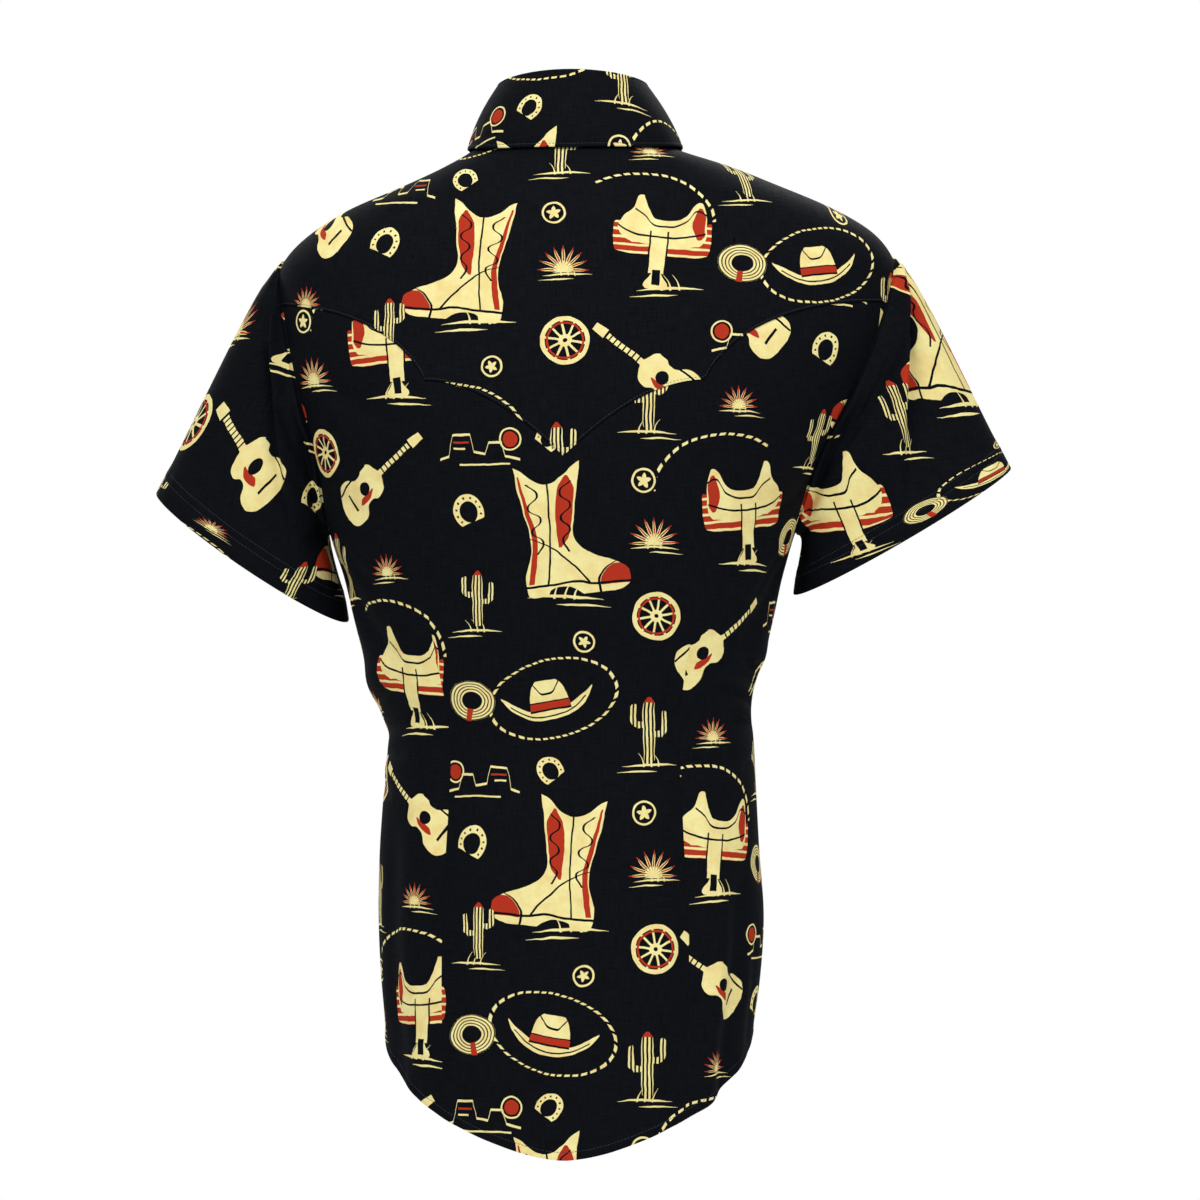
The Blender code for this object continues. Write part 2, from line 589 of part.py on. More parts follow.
def make_sleeve(sleeve, cotton):
    degrees = np.arange(0, 360, STEP)[None, :]
    along = np.array(SLEEVE_ROWS)[:, None]
    degrees, along = np.broadcast_arrays(degrees.astype(float), along)

    def surface(degrees, along):
        return sleeve_point(sleeve, degrees, along)

    normals = -sleeve.side * sheet_normals(surface, degrees, along)
    points = surface(degrees, along) + sleeve_folds(degrees, along)[..., None] * normals
    cloth_piece(sleeve.name, points, normals, cotton, closed=True)


def make_snap(number, place, out, pearl):
    """A round pearl cap: a lathe turned about the way that it faces."""
    profile = [(0.0, 0.0), (SNAP_RADIUS, 0.0), (SNAP_RADIUS, 0.3 * SNAP_HEIGHT),
               (0.8 * SNAP_RADIUS, 0.75 * SNAP_HEIGHT), (0.4 * SNAP_RADIUS, 0.97 * SNAP_HEIGHT), (0.0, SNAP_HEIGHT)]
    side = np.cross(out, (0, 0, 1))
    side = side / np.linalg.norm(side)
    up = np.cross(side, out)
    points = [place + profile[0][1] * out]
    for radius, height in profile[1:-1]:
        for turn in np.arange(SNAP_SIDES) * 2 * math.pi / SNAP_SIDES:
            points.append(place + height * out + radius * (math.cos(turn) * side + math.sin(turn) * up))
    points.append(place + profile[-1][1] * out)
    faces = []
    for turn in range(SNAP_SIDES):
        after = (turn + 1) % SNAP_SIDES
        faces.append((0, 1 + turn, 1 + after))
        for ring in range(len(profile) - 3):
            low, high = 1 + ring * SNAP_SIDES, 1 + (ring + 1) * SNAP_SIDES
            faces.append((low + turn, high + turn, high + after, low + after))
        top = 1 + (len(profile) - 3) * SNAP_SIDES
        faces.append((top + turn, len(points) - 1, top + after))
    mesh = bpy.data.meshes.new(f"snap_{number}")
    mesh.from_pydata([tuple(point) for point in points], [], faces)
    mesh.shade_smooth()
    mesh.materials.append(pearl)
    snap = bpy.data.objects.new(f"snap_{number}", mesh)
    bpy.context.collection.objects.link(snap)


def make_snaps(pearl):
    middle, half_up = np.array(2.0), np.array(0.5)
    out = sheet_normals(stand_point, middle, half_up)
    make_snap(1, stand_point(middle, half_up) + (2 * SEAM) * out, out, pearl)
    for number, height in enumerate(SNAP_HEIGHTS, start=2):
        level = np.array(height)
        for _ in range(12):
            level = level + 0.8 * (height - body(2.0, level)[2])
        out = body_normals(2.0, level)
        place = body(2.0, level) + (WALL + 2.5 * SEAM) * out
        make_snap(number, place, out, pearl)


def main():
    for thing in list(bpy.data.objects):
        bpy.data.objects.remove(thing)
    cotton = finish("printed cotton", (0.008, 0.010, 0.020), 0.85)
    pearl = finish("pearl snap", (0.80, 0.78, 0.70), 0.25)
    make_back(cotton)
    make_back_yoke(cotton)
    for side in (1, -1):
        make_front(side, cotton)
        make_front_yoke(side, cotton)
    make_placket(cotton)
    make_stand(cotton)
    make_fall(cotton)
    for sleeve in SLEEVES:
        make_sleeve(sleeve, cotton)
    make_snaps(pearl)


main()
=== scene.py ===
"""The looks of a short-sleeved western snap shirt: thin printed cloth on the form of its solids, its
sewing and its snaps."""

import math
from collections import namedtuple

import bpy
import numpy as np
from mathutils import Matrix, Vector


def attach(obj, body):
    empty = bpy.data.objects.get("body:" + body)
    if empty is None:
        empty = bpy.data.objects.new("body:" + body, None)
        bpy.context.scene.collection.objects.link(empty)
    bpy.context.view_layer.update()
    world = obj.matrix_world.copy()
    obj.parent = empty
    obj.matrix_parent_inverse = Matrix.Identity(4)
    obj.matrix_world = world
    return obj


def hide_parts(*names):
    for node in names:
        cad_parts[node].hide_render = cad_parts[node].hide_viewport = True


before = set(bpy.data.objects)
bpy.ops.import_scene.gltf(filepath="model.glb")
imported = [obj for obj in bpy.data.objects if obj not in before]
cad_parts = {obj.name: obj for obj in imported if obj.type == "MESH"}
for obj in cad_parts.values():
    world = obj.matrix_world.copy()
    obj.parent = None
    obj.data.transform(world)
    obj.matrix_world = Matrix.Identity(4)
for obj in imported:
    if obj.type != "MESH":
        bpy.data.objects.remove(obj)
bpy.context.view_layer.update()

# ---------------------------------------------------------------- the form, as the solids have it

HALF_SEAM = 0.00015  # half the gap between pieces that are sewn together
CLOTH = 0.0007  # thickness of the shown cloth
WALL = 0.0014  # thickness of the solids' cloth

Ring = namedtuple("Ring", "level left right back front back_lift front_lift corner")
Arc = namedtuple("Arc", "start control end")
Fold = namedtuple("Fold", "around_a level_a around_b level_b width depth")
Edge = namedtuple("Edge", "along around level")
Sleeve = namedtuple("Sleeve", "name side outer inner middle_y half_depth tilt")
Pull = namedtuple("Pull", "side degrees_a along_a degrees_b along_b width rise")
Fall = namedtuple("Fall", "along degrees rise")
Lift = namedtuple("Lift", "distance lift")
Shape = namedtuple("Shape", "at low high")
Line = namedtuple("Line", "at value")


def table(kind, *rows):
    return [kind(*row) for row in rows]


def in_metres(kind, lengths, rows):
    """A table whose rows are given in millimetres, in the columns that are lengths."""
    return [row._replace(**{name: getattr(row, name) / 1000 for name in lengths.split()})
            for row in table(kind, *rows)]


def lifts(*rows):
    """Relief at an edge: the lift of the cloth at each distance in from the edge."""
    return in_metres(Lift, "distance lift", rows)


# Rings of the torso, hem to neck. left, right, back and front are half widths and depths, the lifts
# raise a ring at centre back and centre front, and corner is 2 for an ellipse and more for a boxier ring.
RINGS = in_metres(Ring, "level left right back front back_lift front_lift", [
    (-800, 144, 139, 123, 120, 0, 0, 2.3), (-740, 146.5, 141, 122, 120, 0, 0, 2.3),
    (-700, 149, 144.5, 121, 119.5, 0, 0, 2.3), (-660, 152.5, 150, 119.5, 119, 0, 0, 2.3),
    (-610, 154.5, 153, 116, 118.5, 0, 0, 2.3), (-558, 153.5, 149.5, 110, 117.5, 0, 0, 2.3),
    (-510, 150.5, 147, 104.5, 117, 0, 0, 2.3), (-478, 149, 145.5, 102, 117, 0, 0, 2.3),
    (-446, 154.5, 144, 103.5, 118, 0, 0, 2.3), (-414, 163.5, 149, 108, 121, 0, 0, 2.3),
    (-382, 172, 158.5, 113, 124, 0, 0, 2.3), (-340, 183, 168, 118.5, 127, 0, 0, 2.3),
    (-305, 193.5, 178, 122, 129, 0, 0, 2.3), (-250, 207, 201, 124.5, 130, 0, 0, 2.3),
    (-200, 223, 230, 124, 126, 0, -2, 2.3), (-160, 232, 248, 119.5, 119, 0, -7, 2.3),
    (-120, 235.5, 258, 112, 111, 0, -15, 2.25), (-88, 231, 256, 104, 103, 0, -24, 2.2),
    (-62.4, 205, 234, 94.5, 96, 1, -34, 2.1), (-46.4, 178, 205.5, 87, 91, 1.5, -40.5, 2.1),
    (-30.4, 140, 168, 78, 86, 2, -48, 2.1), (-14.4, 105, 128, 69.5, 82, 3, -56, 2.05),
    (0, 80, 85, 61, 80, 3.5, -63.5, 2), (12, 67, 69, 55, 79, 4, -70, 2)
])
NECK = RINGS[-1]
STAND_TOP = Ring(0.0520, 0.0565, 0.0575, 0.0490, 0.0860, 0.0040, -0.0760, 2)

# The hem: its level at the sides, how much lower it is at centre back and front, and its curve's shape.
HEM_SIDE, BACK_TAIL, FRONT_TAIL, HEM_EASE, HEM_NOTCH = -0.704, 0.081, 0.064, 0.8, 0.07

ARMHOLE_TOP, ARMHOLE_BOTTOM = -0.086, -0.305
ARMHOLE_MIDDLE = (ARMHOLE_TOP + ARMHOLE_BOTTOM) / 2
ARMHOLE_RISE = (ARMHOLE_TOP - ARMHOLE_BOTTOM) / 2
ARMHOLE_BACK, ARMHOLE_FRONT = 0.048, 0.056
ARMHOLE_GAP = 0.0005
BACK_YOKE_END, FRONT_YOKE_END = 50, 60  # where the yoke seams meet the armhole, in degrees from its top

# Yoke seams as curves of distance from the centre line and height: start, control point, end.
BACK_YOKE_SEAM = [
    Arc((0.0, -0.249), (0.060, -0.191), (0.107, -0.1905)),
    Arc((0.107, -0.1905), (0.138, -0.129), (0.260, -0.124)),
]
FRONT_YOKE_SEAM = [
    Arc((0.0, -0.178), (0.055, -0.180), (0.090, -0.222)),
    Arc((0.090, -0.222), (0.120, -0.165), (0.260, -0.146)),
]

# The darts: where they are, and how far they draw the cloth in.
DART_AROUND, DART_TOP, DART_BOTTOM, DART_DEPTH, DART_WIDTH = 0.46, -0.36, -0.76, 0.0045, 0.014
DART_INTAKE = 0.020  # cloth that each dart takes up at the waist
SEAMED_DEPTH, SEAMED_WIDTH = 0.0006, 0.0012  # the crease along a dart's stitches

# Folds and creases, each a soft trough (or, with a negative depth, a ridge) between two places.
FOLDS = in_metres(Fold, "level_a level_b width depth", [
    (1.06, -468, 0.52, -446, 11, 5.5), (1.05, -432, 0.6, -405, 13, -3.5),
    (-1.06, -440, -0.55, -424, 10, 5), (-1.05, -408, -0.62, -386, 12, -3),
    (0.93, -325, 0.62, -420, 14, 5), (-0.93, -325, -0.66, -400, 13, 4.5),
    (0.7, -190, 0.5, -222, 10, 3), (-0.22, -540, -0.25, -800, 18, 3.5), (0.2, -580, 0.24, -800, 20, 3),
    (-0.72, -560, -0.64, -760, 13, 6), (-0.6, -600, -0.54, -790, 11, -4),
    (0.74, -520, 0.7, -760, 16, 4.5), (1.32, -330, 1.46, -470, 18, 5),
    (-1.34, -330, -1.5, -455, 17, 5), (1.04, -490, 1.45, -455, 12, 4.5),
    (-1.04, -470, -1.4, -445, 12, 4.5), (1.58, -500, 1.55, -780, 20, 4.5),
    (-1.55, -480, -1.58, -780, 21, 5), (1.24, -560, 1.22, -740, 16, -4),
    (-1.22, -580, -1.2, -740, 16, -4)
])
# Finer creases that only the cloth has.
CREASES = in_metres(Fold, "level_a level_b width depth", [
    (0.8, -235, 0.63, -262, 5, 1.6), (0.84, -262, 0.58, -300, 7, 1.8), (0.86, -300, 0.66, -352, 6, 2),
    (-0.8, -228, -0.6, -250, 6, 1.6), (-0.85, -268, -0.62, -310, 7, 2),
    (-0.88, -305, -0.7, -362, 5.5, 2), (1, -482, 0.66, -476, 5.5, 2.4), (1, -452, 0.7, -424, 5, 2),
    (1, -505, 0.76, -512, 6, 1.8), (-1, -456, -0.68, -452, 5, 2.2), (-1, -424, -0.7, -400, 5, 2),
    (-1, -480, -0.76, -492, 6, 1.8), (0.46, -440, 0.3, -420, 6, 1.2),
    (-0.46, -456, -0.28, -438, 6, 1.2), (0.46, -492, 0.26, -512, 7, 1.2),
    (0.02, -300, 0.06, -560, 16, 1.2), (-0.1, -330, -0.12, -600, 14, -1),
    (0.4, -640, 0.36, -780, 8, 2), (-0.42, -660, -0.38, -780, 8, 1.8),
    (0.06, -680, 0.04, -790, 9, -1.6), (-0.8, -600, -0.84, -720, 8, 2), (0.86, -560, 0.9, -700, 8, 2),
    (0.3, -115, 0.55, -105, 12, 1.4), (-0.3, -110, -0.58, -100, 12, 1.4),
    (0.26, -40, 0.62, -56, 7, 1.2), (-0.24, -42, -0.6, -52, 7, 1.2), (1.2, -250, 1.42, -300, 6.5, 2),
    (-1.2, -255, -1.4, -290, 6.5, 2), (1.18, -300, 1.44, -380, 7, 2.2),
    (-1.18, -300, -1.42, -372, 7, 2.2), (1, -470, 1.3, -468, 5, 2.2), (-1, -455, -1.32, -462, 5, 2.2),
    (1.9, -240, 1.7, -250, 6, 1.4), (-1.9, -335, -1.72, -322, 6, 1.4), (1.9, -425, 1.74, -440, 6, 1.4),
    (-1.9, -520, -1.7, -535, 6, 1.4), (1.8, -600, 1.76, -760, 10, 2), (-1.8, -610, -1.82, -760, 10, 2),
    (1.4, -600, 1.36, -740, 9, 2.2), (-1.38, -590, -1.4, -740, 9, 2.2)
])
AROUND_UNIT = 0.215  # metres of cloth in one unit of around, for the length of a fold

# How far the fronts pass the centre line, and where and how softly the right one drops under the left.
LAP, LAP_FROM, LAP_EASE = 0.0175, 0.047, 0.025
PLACKET_WIDTH, PLACKET_TOP_LEVEL = 0.033, 0.0105
SNAP_HEIGHTS = [-0.118, -0.212, -0.306, -0.400, -0.494, -0.588]

# The collar fall's free edge, from centre back (along 0) to its point.
FALL_EDGE = in_metres(Edge, "level", [
    (0, 0, -10.5), (0.2, 0.45, -8.5), (0.4, 0.88, -2), (0.5, 1.1, -1), (0.65, 1.36, -8),
    (0.82, 1.56, -28), (1, 1.695, -69)
])
# Where round the neck the fall ends, its clearance and thickness, and how far out its fold rolls and for
# what share of its depth.
FALL_FRONT, FALL_CLEAR, FALL_WALL, FOLD_ROLL, FOLD_SHARE = 1.90, 0.0030, 0.0016, 0.0034, 0.06

# Each sleeve's hem: its outer and inner corners (across, height), and its middle, depth and tilt from the
# side.
SLEEVES = [
    Sleeve("sleeve_left", 1, (0.335, -0.272), (0.1835, -0.376), -0.012, 0.046, 0.16),
    Sleeve("sleeve_right", -1, (0.348, -0.254), (0.1790, -0.354), -0.010, 0.046, 0.15),
]
# Folds of a sleeve, between two places: degrees round it from its top by way of the back, and the share
# of its length.
PULLS = in_metres(Pull, "width rise", [
    (1, 84, 0.06, 150, 0.05, 15, 5), (-1, 78, 0.06, 150, 0.05, 15, 5),
    (1, 100, 0.11, 150, 0.15, 20, -7), (-1, 95, 0.11, 150, 0.16, 22, -8),
    (1, 34, 0.205, 120, 0.23, 9, -3), (-1, 34, 0.205, 122, 0.24, 9, -3.2),
    (1, 150, 0.08, 108, 0.42, 7, -3), (-1, 150, 0.08, 112, 0.48, 7, -3.2),
    (1, 165, 0.16, 130, 0.62, 6, -2.2), (-1, 168, 0.14, 134, 0.56, 6, -2.2),
    (1, 64, 0.33, 52, 0.9, 12, -2), (-1, 60, 0.36, 56, 0.92, 12, -2.2),
    (1, 92, 0.42, 84, 0.96, 10, 1.6), (-1, 96, 0.46, 88, 0.98, 10, 1.8),
    (1, 206, 0.08, 250, 0.42, 8, -3.4), (-1, 206, 0.08, 252, 0.44, 8, -3.4),
    (1, 290, 0.11, 236, 0.15, 10, -6), (-1, 292, 0.11, 238, 0.15, 10, -6),
    (1, 300, 0.36, 312, 0.9, 12, -2.2), (-1, 302, 0.34, 308, 0.9, 12, -2.2),
    (1, 12, 0.02, 16, 0.2, 8, -1.2), (-1, 350, 0.02, 346, 0.22, 8, -1.2)
])
# The fold in which each sleeve's back falls over itself, as far as degrees at each share along; the cloth
# towards the armhole lies on top, by rise.
FALLS = {
    1: in_metres(Fall, "rise", [
        (0, 26, 0), (0.06, 44, 5.5), (0.13, 60, 11.5), (0.22, 78, 14), (0.34, 96, 11.5),
        (0.48, 108, 6.5), (0.66, 116, 2.5), (0.85, 122, 0)
    ]),
    -1: in_metres(Fall, "rise", [
        (0.02, 14, 0), (0.08, 26, 5), (0.15, 37, 11), (0.235, 52, 15), (0.345, 64, 15.5),
        (0.47, 73, 12.5), (0.63, 82, 7), (0.82, 89, 2), (0.95, 92, 0)
    ]),
}
# How sharp that fold is, and how far each side of it reaches.
FALL_STEP, FALL_OVER, FALL_UNDER = 0.0026, 0.0200, 0.0140
DEGREE = 0.00117  # metres of cloth in a degree round the sleeve
SLEEVE_LENGTH = 0.235


def smooth(at, table, key, column):
    """A column of a table at any value of its key column, through a cubic curve that passes each row."""
    keys = np.array([getattr(row, key) for row in table])
    values = np.array([getattr(row, column) for row in table])
    slopes = np.gradient(values, keys)
    at = np.clip(at, keys[0], keys[-1])
    row = np.clip(np.searchsorted(keys, at, side="right") - 1, 0, len(table) - 2)
    step = keys[row + 1] - keys[row]
    t = (at - keys[row]) / step
    from_low = (2 * t**3 - 3 * t**2 + 1) * values[row] + (t**3 - 2 * t**2 + t) * step * slopes[row]
    from_high = (3 * t**2 - 2 * t**3) * values[row + 1] + (t**3 - t**2) * step * slopes[row + 1]
    return from_low + from_high


def at_level(around, level):
    """around and level as whole grids, and a function that gives a column of RINGS at that level."""
    around, level = np.broadcast_arrays(wrapped(np.asarray(around, float)), np.asarray(level, float))
    return around, level, lambda column: smooth(level, RINGS, "level", column)


def ring_quarter(around, size):
    """Half width, depth and corner of the quarter ring that around lies in, where size gives a ring's
    column."""
    width = np.where(around >= 0, size("left"), size("right"))
    return width, np.where(np.abs(around) <= 1, size("back"), size("front")), size("corner")


def ring_lift(around, size):
    return np.where(np.abs(around) <= 1, size("back_lift"), size("front_lift"))


def ease(t):
    """0 to 1 with level ends."""
    t = np.clip(t, 0, 1)
    return t * t * (3 - 2 * t)


QUARTER = np.linspace(0, math.pi / 2, 61)


def wrapped(around):
    """around past centre front comes in again from the other side."""
    return (around + 2) % 4 - 2


def quarter_lengths(width, depth, corner):
    """Length of cloth along a quarter ring, from its middle line to each of its points."""
    power = (2 / corner)[..., None]
    x = width[..., None] * np.sin(QUARTER) ** power
    y = depth[..., None] * np.cos(QUARTER) ** power
    steps = np.hypot(np.diff(x), np.diff(y))
    return np.concatenate([np.zeros(x.shape[:-1] + (1,)), np.cumsum(steps, axis=-1)], axis=-1)


def ring_point(around, level, lift, width, depth, corner):
    """The place on a quarter ring at a share of its length, signed by around's side and half."""
    lengths = quarter_lengths(width, depth, corner)
    share = np.abs(around)
    share = np.where(share > 1, 2 - share, share)
    wanted = share * lengths[..., -1]
    index = np.clip((lengths < wanted[..., None]).sum(axis=-1) - 1, 0, len(QUARTER) - 2)
    low = np.take_along_axis(lengths, index[..., None], -1)[..., 0]
    high = np.take_along_axis(lengths, index[..., None] + 1, -1)[..., 0]
    angle = QUARTER[index] + QUARTER[1] * (wanted - low) / np.maximum(high - low, 1e-9)
    angle = np.clip(angle, 0, math.pi / 2)
    power = 2 / corner
    x = width * np.sin(angle) ** power * np.sign(around)
    y = depth * np.maximum(np.cos(angle), 0) ** power * np.where(np.abs(around) > 1, -1, 1)
    return np.stack([x, y, level + lift * np.cos(angle) ** 2], axis=-1)


def plain_body(around, level):
    """The torso before its folds: around is 0 at centre back, +-1 at the sides and +-2 at centre
    front."""
    around, level, size = at_level(around, level)
    return ring_point(around, level, ring_lift(around, size), *ring_quarter(around, size))


def sheet_normals(surface, across, up):
    """Normals of a surface of two numbers, turned so that up, across and the normal make a left hand."""
    nudge = 2e-4
    step_across = surface(across + nudge, up) - surface(across - nudge, up)
    step_up = surface(across, up + nudge) - surface(across, up - nudge)
    normal = np.cross(step_up, step_across)
    return normal / np.linalg.norm(normal, axis=-1, keepdims=True)


def trough(x, y, start, end, width, ends):
    """1 along the middle of a fold from start to end, less beside it, and fading at its ends (less so by
    ends)."""
    run = np.subtract(end, start)
    length = np.hypot(*run)
    x, y = x - start[0], y - start[1]
    along, beside = (x * run[0] + y * run[1]) / length, (x * run[1] - y * run[0]) / length
    fade = ease(along / (0.3 * length) + ends) * ease((length - along) / (0.3 * length) + ends)
    return fade * np.exp(-((beside / width) ** 2))


def fold_height(around, level):
    """How far the folds, creases and darts push the cloth out (negative is in)."""
    around = wrapped(around)
    height = np.zeros(np.broadcast(around, level).shape)
    for fold in FOLDS + CREASES:
        start = (fold.around_a * AROUND_UNIT, fold.level_a)
        end = (fold.around_b * AROUND_UNIT, fold.level_b)
        height = height - fold.depth * trough(around * AROUND_UNIT, level, start, end, fold.width, 0.2)
    from_dart = (np.abs(around) - DART_AROUND) * AROUND_UNIT
    height = height - DART_DEPTH * dart_reach(level) * np.exp(-((from_dart / DART_WIDTH) ** 2))
    return height - SEAMED_DEPTH * dart_reach(level) ** 0.5 * np.exp(-((from_dart / SEAMED_WIDTH) ** 2))


def dart_reach(level):
    """1 at the middle of a dart, 0 at its ends and beyond."""
    middle = (DART_TOP + DART_BOTTOM) / 2
    return np.clip(1 - ((level - middle) / (DART_TOP - middle)) ** 2, 0, 1)


def quarter_length(around, level):
    """Cloth length of the quarter of the ring that around lies in."""
    around, level, size = at_level(around, level)
    return quarter_lengths(*ring_quarter(around, size))[..., -1]


def body(around, level, lift=0):
    """The outside of the cloth of the torso, lifted off it by a little relief, and its normals."""
    around, level = np.broadcast_arrays(np.asarray(around, float), np.asarray(level, float))
    normals = sheet_normals(plain_body, around, level)
    return plain_body(around, level) + (fold_height(around, level) + lift)[..., None] * normals, normals


def hem_level(around):
    """The height of the hem."""
    share = np.abs(wrapped(around))
    turn = np.where(share <= 1, share, 2 - share) * math.pi / 2
    tail = np.where(share <= 1, BACK_TAIL, FRONT_TAIL)
    drop = 1 - (1 - np.cos(turn)) ** HEM_EASE
    fall = (np.hypot(drop, HEM_NOTCH) - HEM_NOTCH) / (math.hypot(1, HEM_NOTCH) - HEM_NOTCH)
    return HEM_SIDE - tail * fall


def armhole_width(level, widest):
    """Half the armhole's width along the cloth at a level."""
    rise = np.clip((level - ARMHOLE_MIDDLE) / ARMHOLE_RISE, -1, 1)
    return widest * np.sqrt(1 - rise**2)


def armhole_level(degrees):
    return ARMHOLE_MIDDLE + ARMHOLE_RISE * np.cos(np.radians(degrees))


def seam_height(arcs, distance):
    """The height of a yoke seam at a distance from the centre line."""
    t = np.linspace(0, 1, 161)[:, None]
    points = np.concatenate([(1 - t) ** 2 * arc.start + 2 * t * (1 - t) * arc.control + t**2 * arc.end
                             for arc in (Arc(*map(np.array, arc)) for arc in arcs)])
    return np.interp(distance, points[:, 0], points[:, 1])


def seam_level(arcs, around_at, guess):
    """The level of a yoke seam for each column, where around_at gives around from level."""
    level = np.array(guess, float)
    for _ in range(14):
        place = plain_body(around_at(level), level)
        level = level + 0.8 * (seam_height(arcs, np.abs(place[..., 0])) - place[..., 2])
    return level


def corner_column(arcs, around_at):
    """The column, 0 to 1, that meets a yoke seam at its corner."""
    columns = np.linspace(0, 1, 201)
    level = seam_level(arcs, lambda level: around_at(columns, level), -0.16 + 0 * columns)
    place = plain_body(around_at(columns, level), level)
    order = np.argsort(np.abs(place[:, 0]))
    return np.interp(arcs[0].end[0], np.abs(place[order, 0]), columns[order])


# ---------------------------------------------------------------- flat cut of the torso's cloth

CUT_AROUND = np.linspace(-2.3, 2.3, 93)
CUT_LEVELS = np.linspace(-0.800, 0.012, 204)


def climb(points, across):
    """Height up the columns of a grid on a flat cut: what is left of each step once its run across is
    taken off."""
    step = np.linalg.norm(np.diff(points, axis=0), axis=-1)
    rise = np.sqrt(np.maximum(step**2 - np.diff(across, axis=0) ** 2, (0.3 * step) ** 2))
    return np.concatenate([np.zeros((1, across.shape[1])), np.cumsum(rise, axis=0)])


def cut_heights():
    """Height on the flat cut, at each of CUT_AROUND and CUT_LEVELS."""
    around, level = np.meshgrid(CUT_AROUND, CUT_LEVELS)
    heights = climb(plain_body(around, level), cut_across(around, level))
    return heights - heights[np.argmin(np.abs(CUT_LEVELS + 0.30))]


def cut_across(around, level):
    """Distance on the flat cut from centre back, or from centre front, to the right as seen from
    outside."""
    share = wrapped(around)
    share = np.where(np.abs(share) > 1, np.sign(share) * (2 - np.abs(share)), -share)
    share = np.where(np.abs(around) > 2, np.sign(around) * (2 - np.abs(around)), share)
    return share * quarter_length(around, level)


def flat_cut(around, level):
    """Flat coordinates of the torso's cloth, in metres."""
    columns = (np.asarray(around) - CUT_AROUND[0]) / (CUT_AROUND[1] - CUT_AROUND[0])
    rows = (np.asarray(level) - CUT_LEVELS[0]) / (CUT_LEVELS[1] - CUT_LEVELS[0])
    column = np.clip(columns.astype(int), 0, len(CUT_AROUND) - 2)
    row = np.clip(rows.astype(int), 0, len(CUT_LEVELS) - 2)
    s, t = columns - column, rows - row
    low = HEIGHTS[row, column] * (1 - s) + HEIGHTS[row, column + 1] * s
    high = HEIGHTS[row + 1, column] * (1 - s) + HEIGHTS[row + 1, column + 1] * s
    return np.stack([cut_across(around, level), low * (1 - t) + high * t], axis=-1)


HEIGHTS = cut_heights()

# ---------------------------------------------------------------- sheets of cloth

SIZE_OF_FACE = 0.0030  # the cloth's points are about this far apart


def spread(stops, step):
    """The stops, with even steps of at most step between them."""
    stops = sorted(stops)
    out = [np.linspace(a, b, max(2, math.ceil((b - a) / step - 1e-6) + 1))[:-1]
           for a, b in zip(stops, stops[1:])]
    return np.concatenate(out + [stops[-1:]])


def relief(distance, profile):
    """The lift of the cloth at a distance from an edge, from a table of distance and lift."""
    return np.interp(distance, [row.distance for row in profile], [row.lift for row in profile])


def sheet_of_cloth(name, outside, normals, cut, face, wrong_side, wall=CLOTH, closed=False, let_out=None):
    """A thin closed shell: its outside points, and the same moved in. cut is each point's place on the
    flat cut, with one more column than outside where the sheet is a closed tube, and let_out widens the
    cut by faces."""
    rows, columns = outside.shape[:2]
    points = np.concatenate([outside.reshape(-1, 3), (outside - wall * normals).reshape(-1, 3)])
    across = columns if closed else columns - 1
    row, column = np.meshgrid(np.arange(rows - 1), np.arange(across), indexing="ij")
    row, column = row.ravel(), column.ravel()
    corner_rows = np.stack([row, row, row + 1, row + 1], axis=1)
    corner_columns = np.stack([column, column + 1, column + 1, column], axis=1)
    faces = corner_rows * columns + corner_columns % columns
    flats = cut[corner_rows, corner_columns]
    if let_out is not None:
        flats[..., 0] += let_out[corner_rows, column[:, None]]
    corners = points[faces]
    facing = np.cross(corners[:, 2] - corners[:, 0], corners[:, 3] - corners[:, 1])
    if (facing * normals.reshape(-1, 3)[faces[:, 0]]).sum() < 0:
        faces, flats = faces[:, ::-1], flats[:, ::-1]
    used = {}
    for face_corners, face_flats in zip(faces.tolist(), flats.tolist()):
        for i in range(4):
            edge = (face_corners[i], face_corners[(i + 1) % 4])
            used[edge] = (face_flats[i], face_flats[(i + 1) % 4])
    under = rows * columns
    rim, rim_flats = [], []
    for (a, b), (flat_a, flat_b) in used.items():
        if (b, a) not in used:
            rim.append((b, a, a + under, b + under))
            rim_flats += [flat_b, flat_a, flat_a, flat_b]
    polygons = faces.tolist() + (faces[:, ::-1] + under).tolist() + rim
    mesh = bpy.data.meshes.new(name)
    mesh.from_pydata(points.tolist(), [], polygons)
    layer = mesh.uv_layers.new(name="cut")
    coordinates = np.concatenate([flats.reshape(-1, 2), flats[:, ::-1].reshape(-1, 2), np.array(rim_flats)])
    layer.data.foreach_set("uv", coordinates.ravel())
    mesh.materials.append(face)
    mesh.materials.append(wrong_side)
    slots = np.zeros(len(polygons), int)
    slots[len(faces):2 * len(faces)] = 1
    mesh.polygons.foreach_set("material_index", slots)
    mesh.shade_smooth()
    mesh.set_sharp_from_angle(angle=math.radians(50))
    piece = bpy.data.objects.new(name, mesh)
    bpy.context.collection.objects.link(piece)
    return piece


def make_cloth(look, node, outside, normals, cut, one_sided=False, **shape):
    """The cloth of one of the solids, cut from its own place on the printed cloth."""
    wrong = look.face if one_sided else look.wrong
    piece = sheet_of_cloth(f"cloth_{node}", outside, normals, cut + PLACE_ON_CLOTH[node], look.face, wrong,
                           **shape)
    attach(piece, "root")
    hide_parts(node)
    area = area_of(outside, shape.get("closed", False))


